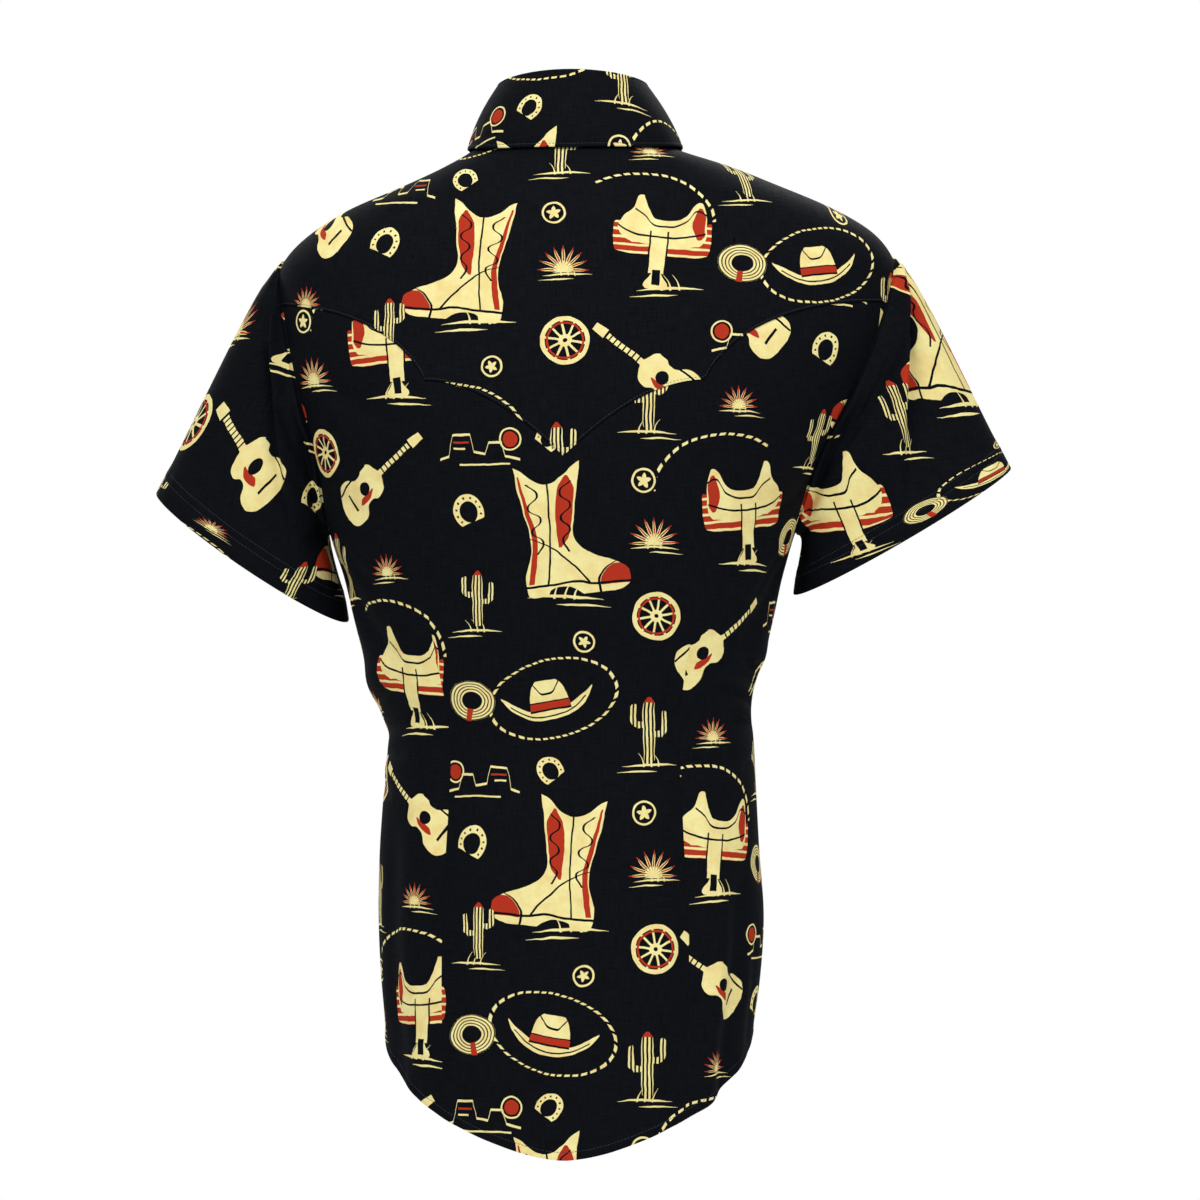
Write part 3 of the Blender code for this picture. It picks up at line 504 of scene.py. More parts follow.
def area_of(points, closed=False):
    """Area of a sheet through a grid of points."""
    if closed:
        points = np.concatenate([points, points[:, :1]], axis=1)
    one = points[1:, 1:] - points[:-1, :-1]
    other = points[1:, :-1] - points[:-1, 1:]
    return float(np.linalg.norm(np.cross(one, other), axis=-1).sum() / 2)


# Relief at the edges, each from its edge inwards.
NARROW_HEM = lifts((0, 0.3), (0.8, 0.5), (4, 0.5), (5.6, 0.2), (6.2, 0.05), (6.8, 0.2), (7.8, 0.05),
                   (10, 0))
LAPPED_EDGE = lifts((0, 0.35), (0.6, 0.75), (1.3, 0.6), (1.8, 0.35), (2.4, 0.55), (6, 0.45), (10, 0.3),
                    (12, 0))
TUCKED_EDGE = lifts((0, -1.1), (4.8, -1), (5.8, -0.35), (7.5, -0.1), (11, 0))
TUCK = 0.005  # how far a tucked edge reaches under the lapped one
SEAM_EDGE = lifts((0, -0.45), (0.8, -0.1), (2, 0.15), (6, 0.1), (10, 0))
NECK_TUCK = 0.0012  # how far the yokes' top edges go up inside the collar stand
NECK_EDGE = lifts((0, -1.8), (1.2, -1.8), (2.2, -0.4), (3.2, 0))
SEAM_TUCK = 0.0015  # how far a front's side edge reaches under the back's
UNDER_EDGE = lifts((0, -1.2), (1.6, -1.2), (2.1, -0.45), (2.7, -0.1), (4, 0.15), (8, 0.1), (12, 0))


def edge_distances(profile):
    return np.array([row.distance for row in profile])


def metres_per_level(around, level):
    """How much a line across the cloth is tilted: the step in level that makes a metre square to the
    line."""
    across = cut_across(around, level)
    slope = np.gradient(level, across)
    return np.sqrt(1 + np.clip(slope, -2.5, 2.5) ** 2)


def panel_levels(low, high, low_tilt, high_tilt, low_rows, high_rows, middle, side_levels, side_share):
    """Levels of a panel's points, in rows that lie at set distances from its low and high edges, and
    evenly between. Its side column follows side_levels, and the others do so by side_share."""
    low_levels = low + low_rows[:, None] * low_tilt
    high_levels = high - high_rows[::-1, None] * high_tilt
    even = np.linspace(0, 1, middle + 2)[1:-1, None]
    side = side_levels(np.linspace(0, 1, middle + 2))
    side = ((side - side[0]) / (side[-1] - side[0]))[1:-1, None]
    share = even * (1 - side_share) + side * side_share
    between = low_levels[-1] + (high_levels[0] - low_levels[-1]) * share
    return np.concatenate([low_levels, between, high_levels])


# ---------------------------------------------------------------- the torso's pieces

PANEL_ROWS, YOKE_ROWS = 178, 74  # rows of points between a piece's two edges
HEM_STITCHES, YOKE_STITCHES = 0.0062, 0.0018  # how far in from the edge they are sewn
RIPPLE_HEIGHT, RIPPLE_PITCH, RIPPLE_REACH = 0.00035, 0.017, 0.006  # the waves along a narrow hem


def back_around(columns, level):
    """around for columns from side to side of the back, narrowed by the armholes."""
    side_gap = HALF_SEAM / quarter_length(columns, level)
    edge = 1 - armhole_width(level, ARMHOLE_BACK) / quarter_length(columns, level)
    return columns * (edge - side_gap)


def back_columns():
    half = []
    for side in (1, -1):
        corner = corner_column(BACK_YOKE_SEAM, lambda columns, level: back_around(side * columns, level))
        near_dart = DART_AROUND + np.array([-0.015, -0.009, -0.004, 0, 0.004, 0.009, 0.015])
        near_side = 1 - edge_distances(SEAM_EDGE)[::-1] / AROUND_UNIT
        half.append(spread([0, corner, *near_dart, *near_side], SIZE_OF_FACE / AROUND_UNIT))
    return np.concatenate([-half[1][:0:-1], half[0]])


def back_yoke_seam(columns):
    seam = seam_level(BACK_YOKE_SEAM, lambda level: back_around(columns, level), -0.16 + 0 * columns)
    armhole = armhole_level(BACK_YOKE_END)
    for side in (1, -1):
        share = np.clip(side * columns, 0, 1) ** 6
        seam = seam + (armhole - seam[np.argmax(share)]) * share
    return seam


def side_then_armhole(end):
    """Levels up a panel's side, first the side seam and then the armhole up to an angle."""
    def levels(share):
        seam = HEM_SIDE + (ARMHOLE_BOTTOM - HEM_SIDE) * share / 0.5
        hole = armhole_level(180 + (end - 180) * (share - 0.5) / 0.5)
        return np.where(share < 0.5, seam, hole)
    return levels


def armhole_then_ridge(start):
    def levels(share):
        hole = armhole_level(start * (1 - share / 0.45))
        ridge = ARMHOLE_TOP + (NECK.level - ARMHOLE_TOP) * (share - 0.45) / 0.55
        return np.where(share < 0.45, hole, ridge)
    return levels


def hem_ripple(around, level, low):
    """The small waves that a curved narrow hem pulls itself into."""
    distance = level - low
    run = cut_across(around, level)
    wave = np.sin(run * 2 * math.pi / RIPPLE_PITCH + 1.7 * np.sin(run * 31))
    wave = wave * (0.6 + 0.4 * np.sin(run * 47 + 1))
    return RIPPLE_HEIGHT * wave * np.exp(-(((distance - RIPPLE_REACH) / RIPPLE_REACH) ** 2))


def row_at(outside, normals, level, wanted):
    """The points of a sheet, one from each column, at the wanted levels, and their normals."""
    picks, faces = [], []
    for column in range(level.shape[1]):
        heights = level[:, column]
        picks.append([np.interp(wanted[column], heights, outside[:, column, i]) for i in range(3)])
        faces.append([np.interp(wanted[column], heights, normals[:, column, i]) for i in range(3)])
    return np.array(picks), np.array(faces)


def front_around(columns, level, side, tuck=0.0):
    """around for columns from the side seam (0) to past centre front (1); away from the armhole the edge
    may be tucked under the back's."""
    length = quarter_length(side * 1.5, level)
    armhole = armhole_width(level, ARMHOLE_FRONT)
    edge = 1 + (armhole + HALF_SEAM - tuck * (1 - ease(armhole / 0.006))) / length
    return side * (edge + (2 + LAP / length - edge) * columns)


def front_columns(side):
    point = 0.95 * corner_column(FRONT_YOKE_SEAM,
                                 lambda columns, level: front_around(0.95 * columns, level, side))
    near_side = edge_distances(UNDER_EDGE) / AROUND_UNIT
    near_lap = 1 - np.array([0.0010, 0]) / AROUND_UNIT
    return spread([*near_side, point, *near_lap], SIZE_OF_FACE / AROUND_UNIT)


def front_yoke_seam(columns, side):
    seam = seam_level(FRONT_YOKE_SEAM, lambda level: front_around(columns, level, side),
                      -0.17 + 0 * columns)
    share = (1 - columns) ** 6
    return seam + (armhole_level(FRONT_YOKE_END) - seam[0]) * share


def make_panel(look, side, yoke):
    """A piece of the torso: of the back (side 0) or of the left (1) or right (-1) front, from the hem up
    to the yoke seam, or a yoke from there up to the neck."""
    node = ("front" if side else "back") + ("_yoke" if yoke else "")
    node += {0: "", 1: "_left", -1: "_right"}[side]
    columns = front_columns(side) if side else back_columns()
    from_side = columns if side else 1 - np.abs(columns)
    seam = front_yoke_seam(columns, side) if side else back_yoke_seam(columns)
    seam_tilt = metres_per_level(front_around(columns, seam, side) if side else columns * 0.9, seam)
    if yoke:
        low, low_tilt, low_edge, high_edge = seam + HALF_SEAM, seam_tilt, LAPPED_EDGE, NECK_EDGE
        high, high_tilt = NECK.level + NECK_TUCK + 0 * columns, 1 + 0 * columns
        side_levels = armhole_then_ridge(FRONT_YOKE_END if side else BACK_YOKE_END)
    else:
        low = hem_level(front_around(columns, HEM_SIDE + 0 * columns, side) if side else columns)
        low_around = front_around(columns * 0.97 + 0.01, low, side) if side else columns
        low_tilt = metres_per_level(low_around, low)
        high, high_tilt, low_edge, high_edge = seam + TUCK * seam_tilt, seam_tilt, NARROW_HEM, TUCKED_EDGE
        side_levels = side_then_armhole(FRONT_YOKE_END if side else BACK_YOKE_END)
    level = panel_levels(low, high, low_tilt, high_tilt, edge_distances(low_edge),
                         edge_distances(high_edge), YOKE_ROWS if yoke else PANEL_ROWS, side_levels,
                         (1 - from_side) ** 3)
    around = front_around(columns, level, side) if side else back_around(columns, level)
    lift = relief((level - low) / low_tilt, low_edge) + relief((high - level) / high_tilt, high_edge)
    lift = lift + relief(from_side * quarter_length(around, level), UNDER_EDGE if side else SEAM_EDGE)
    if not yoke:
        lift = lift + hem_ripple(around, level, low)
    outside, normals = body(front_around(columns, level, side, SEAM_TUCK) if side else around, level, lift)
    if side < 0:  # the right front drops under the left one near centre front
        drop = (WALL + 2 * HALF_SEAM) * ease((outside[..., 0] + LAP_FROM) / LAP_EASE)
        outside = outside - drop[..., None] * normals
    let_out = None
    if node == "back":
        middles = (columns[1:] + columns[:-1]) / 2
        let_out = np.where(np.abs(middles) > DART_AROUND, -np.sign(middles), 0)
        let_out = let_out * DART_INTAKE * dart_reach(level)[:, :-1]
    make_cloth(look, node, outside, normals, flat_cut(around, level), let_out=let_out)
    row = low + (YOKE_STITCHES if yoke else HEM_STITCHES) * low_tilt
    stitch_rows[node if yoke else node + "_hem"] = row_at(outside, normals, level, row)


PLACKET_EDGE = lifts((0, 0.2), (0.6, 0.45), (1.2, 0.3), (1.6, 0.05), (2, 0.3), (3, 0.4), (5.8, 0.35),
                     (6.4, 0.05), (7, 0.35), (9, 0.3))
PLACKET_ROWS, PLACKET_STITCHES = 250, (0.0016, 0.0064)  # rows of points, and how far in it is stitched


def make_placket(look):
    """The band down the edge of the left front, sewn on with two rows of stitches at each side."""
    half = PLACKET_WIDTH / 2
    edges = half - edge_distances(PLACKET_EDGE)
    across = spread([*-edges, *edges], SIZE_OF_FACE)
    low = hem_level(2 + 0 * across) + 2 * HALF_SEAM
    level = low + (PLACKET_TOP_LEVEL - low) * np.linspace(0, 1, PLACKET_ROWS)[:, None]
    around = 2 + across[None, :] / quarter_length(1.5, level)
    inset = half - np.abs(across)
    ripple = 0.00018 * np.sin(level * 2 * math.pi / 0.021) * np.exp(-(((inset - 0.004) / 0.004) ** 2))
    outside, normals = body(around, level, relief(inset, PLACKET_EDGE) + ripple + WALL + 2 * HALF_SEAM)
    make_cloth(look, "placket", outside, normals, flat_cut(around, level), wall=WALL)
    for side, end in ((1, "left"), (-1, "right")):
        for row, stitches in enumerate(PLACKET_STITCHES):
            column = np.argmin(np.abs(across - side * (half - stitches)))
            stitch_rows[f"placket_{end}_{row}"] = (outside[1:, column], normals[1:, column])


# ---------------------------------------------------------------- collar

STAND_HEIGHT = 0.036
STAND_STITCHES = 0.07  # the height of the stand's lower stitches, as a share of its own
FALL_LENGTH, FALL_DEPTH, FALL_CROWN = 0.235, 0.066, 0.0035  # the fall's half length, depth and bulge


def ring_row(around, ring):
    """Points round one ring of the collar."""
    around = wrapped(around)

    def size(column):
        return getattr(ring, column) + 0 * around

    return ring_point(around, size("level"), ring_lift(around, size), *ring_quarter(around, size))


def flat_out(points):
    """The level way out from the neck's middle line."""
    out = points * np.array([1, 1, 0])
    return out / np.linalg.norm(out, axis=-1, keepdims=True)


def stand_point(around, up):
    """The collar stand: around passes +-2 where its ends lap, and up runs from 0 to 1."""
    foot, top = ring_row(around, NECK), ring_row(around, STAND_TOP)
    points = foot + (top - foot) * up[..., None]
    lap = (WALL + 2 * HALF_SEAM) / 2 * np.sign(around) * ease((np.abs(around) - 1.6) / 0.3)
    raised = np.array([0, 0, 2 * HALF_SEAM]) * (1 - up[..., None])
    return points + lap[..., None] * flat_out(points) + raised


def grid_cut(points, middle):
    """Flat coordinates of a grid of points, by cloth length along its rows from a middle column, and up
    its columns."""
    across = np.concatenate([np.zeros((len(points), 1)),
                             np.cumsum(np.linalg.norm(np.diff(points, axis=1), axis=-1), axis=1)], axis=1)
    across = across - across[:, middle:middle + 1]
    return np.stack([across, climb(points, across)], axis=-1)


STAND_EDGE = lifts((0, -0.2), (1, 0.05), (1.8, -0.15), (2.6, 0.05), (5, 0))


def make_stand(look):
    lap_end = 2 + LAP / quarter_length(1.5, NECK.level)
    around = spread([-lap_end, -2, -1, 0, 1, 2, lap_end], 0.024)[None, :]
    up = spread([0, 0.04, STAND_STITCHES, 0.10, 0.16, 0.9, 0.95, 1], 0.06)[:, None]
    around, up = np.broadcast_arrays(around, up)
    normals = sheet_normals(stand_point, around, up)
    outside = stand_point(around, up) + relief(up * STAND_HEIGHT, STAND_EDGE)[..., None] * normals
    cut = grid_cut(outside, outside.shape[1] // 2) * np.array([-1, 1])
    make_cloth(look, "collar_stand", outside, normals, cut, one_sided=True, wall=WALL)
    foot = np.argmin(np.abs(up[:, 0] - STAND_STITCHES))
    stitch_rows["collar_stand_foot"] = (outside[foot], normals[foot])


def fall_point(along, down):
    """The collar fall: along is -1 to 1 from the right point to the left one, down 0 to 1 from the
    fold."""
    share = np.abs(along)
    edge_around = smooth(share, FALL_EDGE, "along", "around") * np.sign(along)
    edge_level = smooth(share, FALL_EDGE, "along", "level")
    edge, edge_normals = body(edge_around, edge_level)
    edge = edge + FALL_CLEAR * edge_normals
    fold_around = along * FALL_FRONT
    out = flat_out(ring_row(fold_around, STAND_TOP))
    over_lap = (WALL + 4 * HALF_SEAM) * ease((-fold_around - 1.5) / 0.25)
    fold = stand_point(fold_around, np.ones_like(fold_around)) + over_lap[..., None] * out
    nudge = 1e-3
    line = ring_row(fold_around + nudge, STAND_TOP) - ring_row(fold_around - nudge, STAND_TOP)
    up = np.cross(line, out)
    up = up / np.linalg.norm(up, axis=-1, keepdims=True) * np.sign(up[..., 2:])
    roll = np.clip(down / FOLD_SHARE, 0, 1) * math.pi / 2
    rise = FALL_WALL + 4 * HALF_SEAM
    shoulder = fold + out * (FOLD_ROLL * np.sin(roll))[..., None] + up * (rise * np.cos(roll))[..., None]
    move = np.clip((down - FOLD_SHARE) / (1 - FOLD_SHARE), 0, 1)
    crown = FALL_CROWN * 4 * move * (1 - move)
    return shoulder + (edge - shoulder) * move[..., None] + out * crown[..., None]


COLLAR_EDGE = lifts((0, -0.15), (0.7, 0.22), (1.7, 0.18), (2.6, -0.22), (3.5, 0.12), (6, 0.06), (9, 0))


def make_fall(look):
    insets = edge_distances(COLLAR_EDGE)[::-1]
    tip, hem = 1 - insets / FALL_LENGTH, 1 - insets / FALL_DEPTH
    along = spread([*-tip, 0, *tip], 0.012)[None, :]
    down = spread([0, 0.012, 0.024, 0.036, 0.048, 0.06, 0.075, *hem], 0.045)[:, None]
    along, down = np.broadcast_arrays(along, down)
    normals = -sheet_normals(fall_point, along, down)
    plain = fall_point(along, down)
    cut = grid_cut(plain, plain.shape[1] // 2)
    from_front = np.minimum(cut[:, -1:, 0] - cut[..., 0], cut[..., 0] - cut[:, :1, 0])
    from_edge = np.minimum(cut[-1:, :, 1] - cut[..., 1], from_front)
    outside = plain + relief(from_edge, COLLAR_EDGE)[..., None] * normals
    make_cloth(look, "collar_fall", outside, normals, -cut, one_sided=True, wall=FALL_WALL)
    # The stitches run down the right front edge, along the hem and up the left one, three points in.
    row, left, right = len(down) - 4, along.shape[1] - 4, 3
    path = [(r, right) for r in range(3, row)] + [(row, c) for c in range(right, left)]
    rows, columns = np.array(path + [(r, left) for r in range(row, 2, -1)]).T
    stitch_rows["collar_fall"] = (outside[rows, columns], normals[rows, columns])


# ---------------------------------------------------------------- sleeves

def armhole_point(degrees, side, inset=0.0):
    """The armhole's edge on the torso, from its top (0) round the back (90), or a line inside it."""
    angle = np.radians(degrees)
    level = ARMHOLE_MIDDLE + (ARMHOLE_RISE + inset) * np.cos(angle)
    behind = np.sin(angle) >= 0
    widest = np.where(behind, ARMHOLE_BACK, ARMHOLE_FRONT) + inset
    length = quarter_length(side * np.where(behind, 0.5, 1.5), level)
    around = side * (1 - widest * np.sin(angle) / length)
    return body(around, level)


def sleeve_arrival(degrees):
    """How steeply, and how fast, the sleeve comes to its hem."""
    top = np.cos(np.radians(degrees))
    return 0.22 + 0.26 * top, 0.13 + 0.06 * top


def sleeve_point(sleeve, degrees, along):
    """A sleeve: degrees round it from its top by way of the back, along 0 at the armhole to 1 at the
    hem."""
    angle = np.radians(degrees)
    top, back = np.cos(angle), np.sin(angle)
    outer, inner = np.array(sleeve.outer), np.array(sleeve.inner)
    middle, reach = (outer + inner) / 2, (outer - inner) / 2
    line = np.array([reach[1], -reach[0]]) / np.hypot(*reach)  # along the arm, away from the body
    lean = back * sleeve.half_depth * sleeve.tilt
    hem_x = middle[0] + top * reach[0] + lean * line[0]
    hem_z = middle[1] + top * reach[1] + lean * line[1]
    hem = np.stack([sleeve.side * hem_x, sleeve.middle_y + back * sleeve.half_depth, hem_z], axis=-1)
    dip = np.radians(14 + 20 * top)
    leave = np.stack([sleeve.side * np.cos(dip), 0 * dip, -np.sin(dip)], axis=-1)
    start = armhole_point(degrees, sleeve.side)[0] + ARMHOLE_GAP * leave
    arrive_x, speed = sleeve_arrival(degrees)
    arrive = np.stack([sleeve.side * arrive_x, 0 * top, -np.sqrt(1 - arrive_x**2)], axis=-1)
    leave = leave * (0.055 + 0.015 * top)[..., None]
    arrive = arrive * speed[..., None]
    t = along[..., None]
    return ((2 * t**3 - 3 * t**2 + 1) * start + (t**3 - 2 * t**2 + t) * leave
            + (3 * t**2 - 2 * t**3) * hem + (t**3 - t**2) * arrive)


def sleeve_folds(side, degrees, along):
    """How far the folds push a sleeve's cloth out."""
    degrees = degrees % 360
    height = np.zeros(degrees.shape)
    x, y = degrees * DEGREE, along * SLEEVE_LENGTH
    for pull in PULLS:
        if pull.side == side:
            start = (pull.degrees_a * DEGREE, pull.along_a * SLEEVE_LENGTH)
            end = (pull.degrees_b * DEGREE, pull.along_b * SLEEVE_LENGTH)
            height = height + pull.rise * trough(x, y, start, end, pull.width, 0.1)
    falls = FALLS[side]
    beside = 0.85 * DEGREE * (degrees - smooth(along, falls, "along", "degrees"))
    rise = np.maximum(smooth(along, falls, "along", "rise"), 0)
    over = (1 + np.tanh(beside / FALL_STEP)) / 2
    on_top = over * np.exp(-((np.maximum(beside, 0) / FALL_OVER) ** 1.5))
    beneath = (1 - over) * np.exp(-((beside / FALL_UNDER) ** 2))
    return height + rise * (on_top - 0.5 * beneath)


TURNED_HEM = lifts((0, 0.2), (1, 0.55), (12, 0.5), (13.8, 0.4), (14.5, 0.1), (15.2, 0.4), (17.5, 0.5),
                   (19.2, 0.35), (19.9, 0.05), (20.6, 0.25), (21.6, 0.1), (24, 0))
SLEEVE_ROWS, SLEEVE_COLUMNS = 100, 224
SLEEVE_STITCHES = 0.0145, 0.0199  # how far in from the hem's edge they are sewn
TUCKS = (0.0045, 0.0020), (0.0012, 0.0012)  # the sleeve's edge inside the armhole: how far in, how deep
NET_TURNS, NET_ROWS, NET_ROUNDS = 48, 16, 30  # the net that lays a sleeve flat, and how often it is eased


def laid_flat(net, side):
    """Where the points of a net round a sleeve lie once it is cut at the underarm and laid flat with its
    hem at the bottom, as complex numbers. From a first guess, every triangle is turned as it best fits
    and the points are eased to suit the turned triangles, over and over, so that nothing is stretched
    more than it need be."""
    rows, columns = net.shape[:2]
    index, points = np.arange(rows * columns).reshape(rows, columns), net.reshape(-1, 3)
    a, b, c, d = (part.ravel() for part in (index[:-1, :-1], index[:-1, 1:], index[1:, :-1], index[1:, 1:]))
    triangles = np.concatenate([np.stack([a, b, c], axis=1), np.stack([d, c, b], axis=1)])
    facing = np.repeat([1, -1], len(a))
    first = points[triangles[:, 1]] - points[triangles[:, 0]]
    second = points[triangles[:, 2]] - points[triangles[:, 0]]
    width = np.linalg.norm(first, axis=1)
    reach = (first * second).sum(axis=1) / width
    height = np.sqrt((second**2).sum(axis=1) - reach**2)
    corners = np.stack([0 * width, facing * side * width, facing * (side * reach - 1j * height)], axis=1)
    start, end = triangles, triangles[:, [1, 2, 0]]
    edges = corners[:, [1, 2, 0]] - corners
    spread_out = (corners - corners[:, [2, 0, 1]]).conj() * (corners[:, [1, 2, 0]] - corners[:, [2, 0, 1]])
    stiffness = np.maximum(spread_out.real / np.abs(spread_out.imag), 0.02)
    whole = np.zeros((rows * columns, rows * columns))
    for one, other, sign in ((start, start, 1), (end, end, 1), (start, end, -1), (end, start, -1)):
        np.add.at(whole, (one, other), sign * stiffness)
    whole[0] = 0
    whole[0, 0] = 1
    answer = np.linalg.inv(whole)
    guess = grid_cut(net[::-1], columns // 2)[::-1]
    flat = (side * guess[..., 0] + 1j * guess[..., 1]).ravel()
    for _ in range(NET_ROUNDS):
        turn = (stiffness * edges.conj() * (flat[end] - flat[start])).sum(axis=1)
        pull = stiffness * edges * (turn / np.abs(turn))[:, None]
        pulls = np.zeros(rows * columns, complex)
        np.add.at(pulls, end, pull)
        np.add.at(pulls, start, -pull)
        pulls[0] = flat[0]
        flat = answer @ pulls
    low, high = flat[index[-1, [columns // 4, 3 * columns // 4]]]
    level = side * (high - low).conj() / abs(high - low)
    return ((flat - (low + high) / 2) * level).reshape(rows, columns)


def between_net(flat, degrees, along):
    """Flat coordinates between the points of the net."""
    columns, rows = (degrees + 180) / 360 * NET_TURNS, along * NET_ROWS
    column, row = np.minimum(columns.astype(int), NET_TURNS - 1), np.minimum(rows.astype(int), NET_ROWS - 1)
    s, t = columns - column, rows - row
    place = ((flat[row, column] * (1 - s) + flat[row, column + 1] * s) * (1 - t)
             + (flat[row + 1, column] * (1 - s) + flat[row + 1, column + 1] * s) * t)
    return np.stack([place.real, place.imag], axis=-1)


def make_sleeve(sleeve, look):
    def surface(degrees, along):
        return sleeve_point(sleeve, degrees, along)

    def folded(degrees, along, lift=0):
        """The folded surface, lifted off it by a little relief, and its normals."""
        normals = sleeve.side * sheet_normals(surface, degrees, along)
        height = sleeve_folds(sleeve.side, degrees, along) + lift
        return surface(degrees, along) + height[..., None] * normals, normals

    degrees = np.linspace(-180, 180, SLEEVE_COLUMNS, endpoint=False)
    speed = sleeve_arrival(degrees)[1]
    hem_rows = 1 - edge_distances(TURNED_HEM)[::-1, None] / speed
    even = np.linspace(0, 1, SLEEVE_ROWS)[:-1, None] ** 1.15
    along = np.concatenate([even * hem_rows[0], hem_rows])
    degrees = np.broadcast_to(degrees, along.shape)
    distance = (1 - along) * speed
    wave = np.sin(degrees / 360 * 2 * math.pi * 23 + 2 * np.sin(np.radians(degrees) * 3))
    ripple = 0.00022 * wave * np.exp(-(((distance - 0.018) / 0.008) ** 2))
    lift = relief(distance, TURNED_HEM) + ripple + (WALL + 0.0002) * ease(along / 0.03)
    outside, normals = folded(degrees, along, lift)
    tucks = [(point - depth * normal, normal) for depth, (point, normal) in
             ((depth, armhole_point(degrees[0], sleeve.side, inset)) for inset, depth in TUCKS)]
    outside = np.concatenate([[point for point, _ in tucks], outside])
    normals = np.concatenate([[normal for _, normal in tucks], normals])
    net_along, net_degrees = np.meshgrid(np.linspace(0, 1, NET_ROWS + 1),
                                         np.linspace(-180, 180, NET_TURNS + 1), indexing="ij")
    flat = laid_flat(folded(net_degrees, net_along)[0], sleeve.side)
    round_trip = np.append(degrees[0], 180)[None, :] + 0 * along[:, :1]
    cut = between_net(flat, round_trip, along[:, :1] + 0 * round_trip)
    cut = np.concatenate([cut[:1] + np.array([0, inset]) for inset, _ in TUCKS] + [cut])
    make_cloth(look, sleeve.name, outside, normals, cut, closed=True)
    for row, stitches in enumerate(SLEEVE_STITCHES):
        index = len(outside) - 1 - np.argmin(np.abs(edge_distances(TURNED_HEM) - stitches))
        loop = [np.concatenate([grid[index], grid[index, :1]]) for grid in (outside, normals)]
        stitch_rows[f"{sleeve.name}_hem_{row}"] = loop


# ---------------------------------------------------------------- sewing and snaps

PITCH, STITCH_LENGTH = 0.0028, 0.0023
stitch_rows = {}


def select_only(thing):
    bpy.ops.object.select_all(action="DESELECT")
    thing.select_set(True)
    bpy.context.view_layer.objects.active = thing


def one_stitch():
    """The points and faces of one stitch of thread, lying along x."""
    bpy.ops.mesh.primitive_uv_sphere_add(segments=6, ring_count=4, radius=1, rotation=(0, math.pi / 2, 0))
    stitch = bpy.context.object
    stitch.scale = (0.00018, 0.00022, STITCH_LENGTH / 2)
    bpy.ops.object.transform_apply(location=False, rotation=True, scale=True)
    points = np.array([vertex.co for vertex in stitch.data.vertices])
    faces = [list(polygon.vertices) for polygon in stitch.data.polygons]
    bpy.data.objects.remove(stitch)
    return points, faces


def sew(name, rows, thread):
    """Stitches laid along rows of (points, normals), as one piece."""
    stitch, stitch_faces = one_stitch()
    points, faces = [], []
    for path, normals in rows:
        run = np.concatenate([[0], np.cumsum(np.linalg.norm(np.diff(path, axis=0), axis=-1))])
        at = np.arange(PITCH / 2, run[-1] - PITCH / 2, PITCH)

        def along(values, at):
            return np.stack([np.interp(at, run, values[:, i]) for i in range(3)], axis=-1)

        place, out = along(path, at), along(normals, at)
        ahead = along(path, at + PITCH / 2) - place
        ahead /= np.linalg.norm(ahead, axis=-1, keepdims=True)
        out /= np.linalg.norm(out, axis=-1, keepdims=True)
        beside = np.cross(out, ahead)
        for i in range(len(at)):
            first = len(points) * len(stitch)
            points.append(place[i] + 0.00006 * out[i] + stitch @ np.array([ahead[i], beside[i], out[i]]))
            faces += [[first + corner for corner in face] for face in stitch_faces]
    mesh = bpy.data.meshes.new(name)
    mesh.from_pydata(np.concatenate(points).tolist(), [], faces)
    mesh.materials.append(thread)
    mesh.shade_smooth()
    piece = bpy.data.objects.new(name, mesh)
    bpy.context.collection.objects.link(piece)
    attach(piece, "root")


def one_snap(pearl, rim):
    """A pearl snap's cap, its back on the plane z = 0: a low dome set in a turned metal rim."""
    bpy.ops.mesh.primitive_uv_sphere_add(segments=40, ring_count=20, radius=0.0046)
    dome = bpy.context.object
    dome.scale = (1, 1, 0.42)
    dome.location = (0, 0, 0.0009)
    bpy.ops.object.transform_apply(location=True, rotation=True, scale=True)
    dome.data.materials.append(pearl)
    bpy.ops.object.shade_smooth()
    bpy.ops.mesh.primitive_cylinder_add(vertices=40, radius=0.0055, depth=0.0010, location=(0, 0, 0.0005))
    base = bpy.context.object
    base.data.materials.append(rim)
    select_only(base)
    soften = base.modifiers.new("edge", "BEVEL")
    soften.width, soften.segments = 0.0003, 3
    bpy.ops.object.modifier_apply(modifier=soften.name)
    bpy.ops.mesh.primitive_torus_add(major_radius=0.0048, minor_radius=0.0006, major_segments=40,
                                     minor_segments=12, location=(0, 0, 0.0011))
    ring = bpy.context.object
    ring.data.materials.append(rim)
    bpy.ops.object.shade_smooth()
    bpy.ops.object.select_all(action="DESELECT")
    for part in (base, ring, dome):
        part.select_set(True)
    bpy.context.view_layer.objects.active = base
    bpy.ops.object.join()
    return bpy.context.object


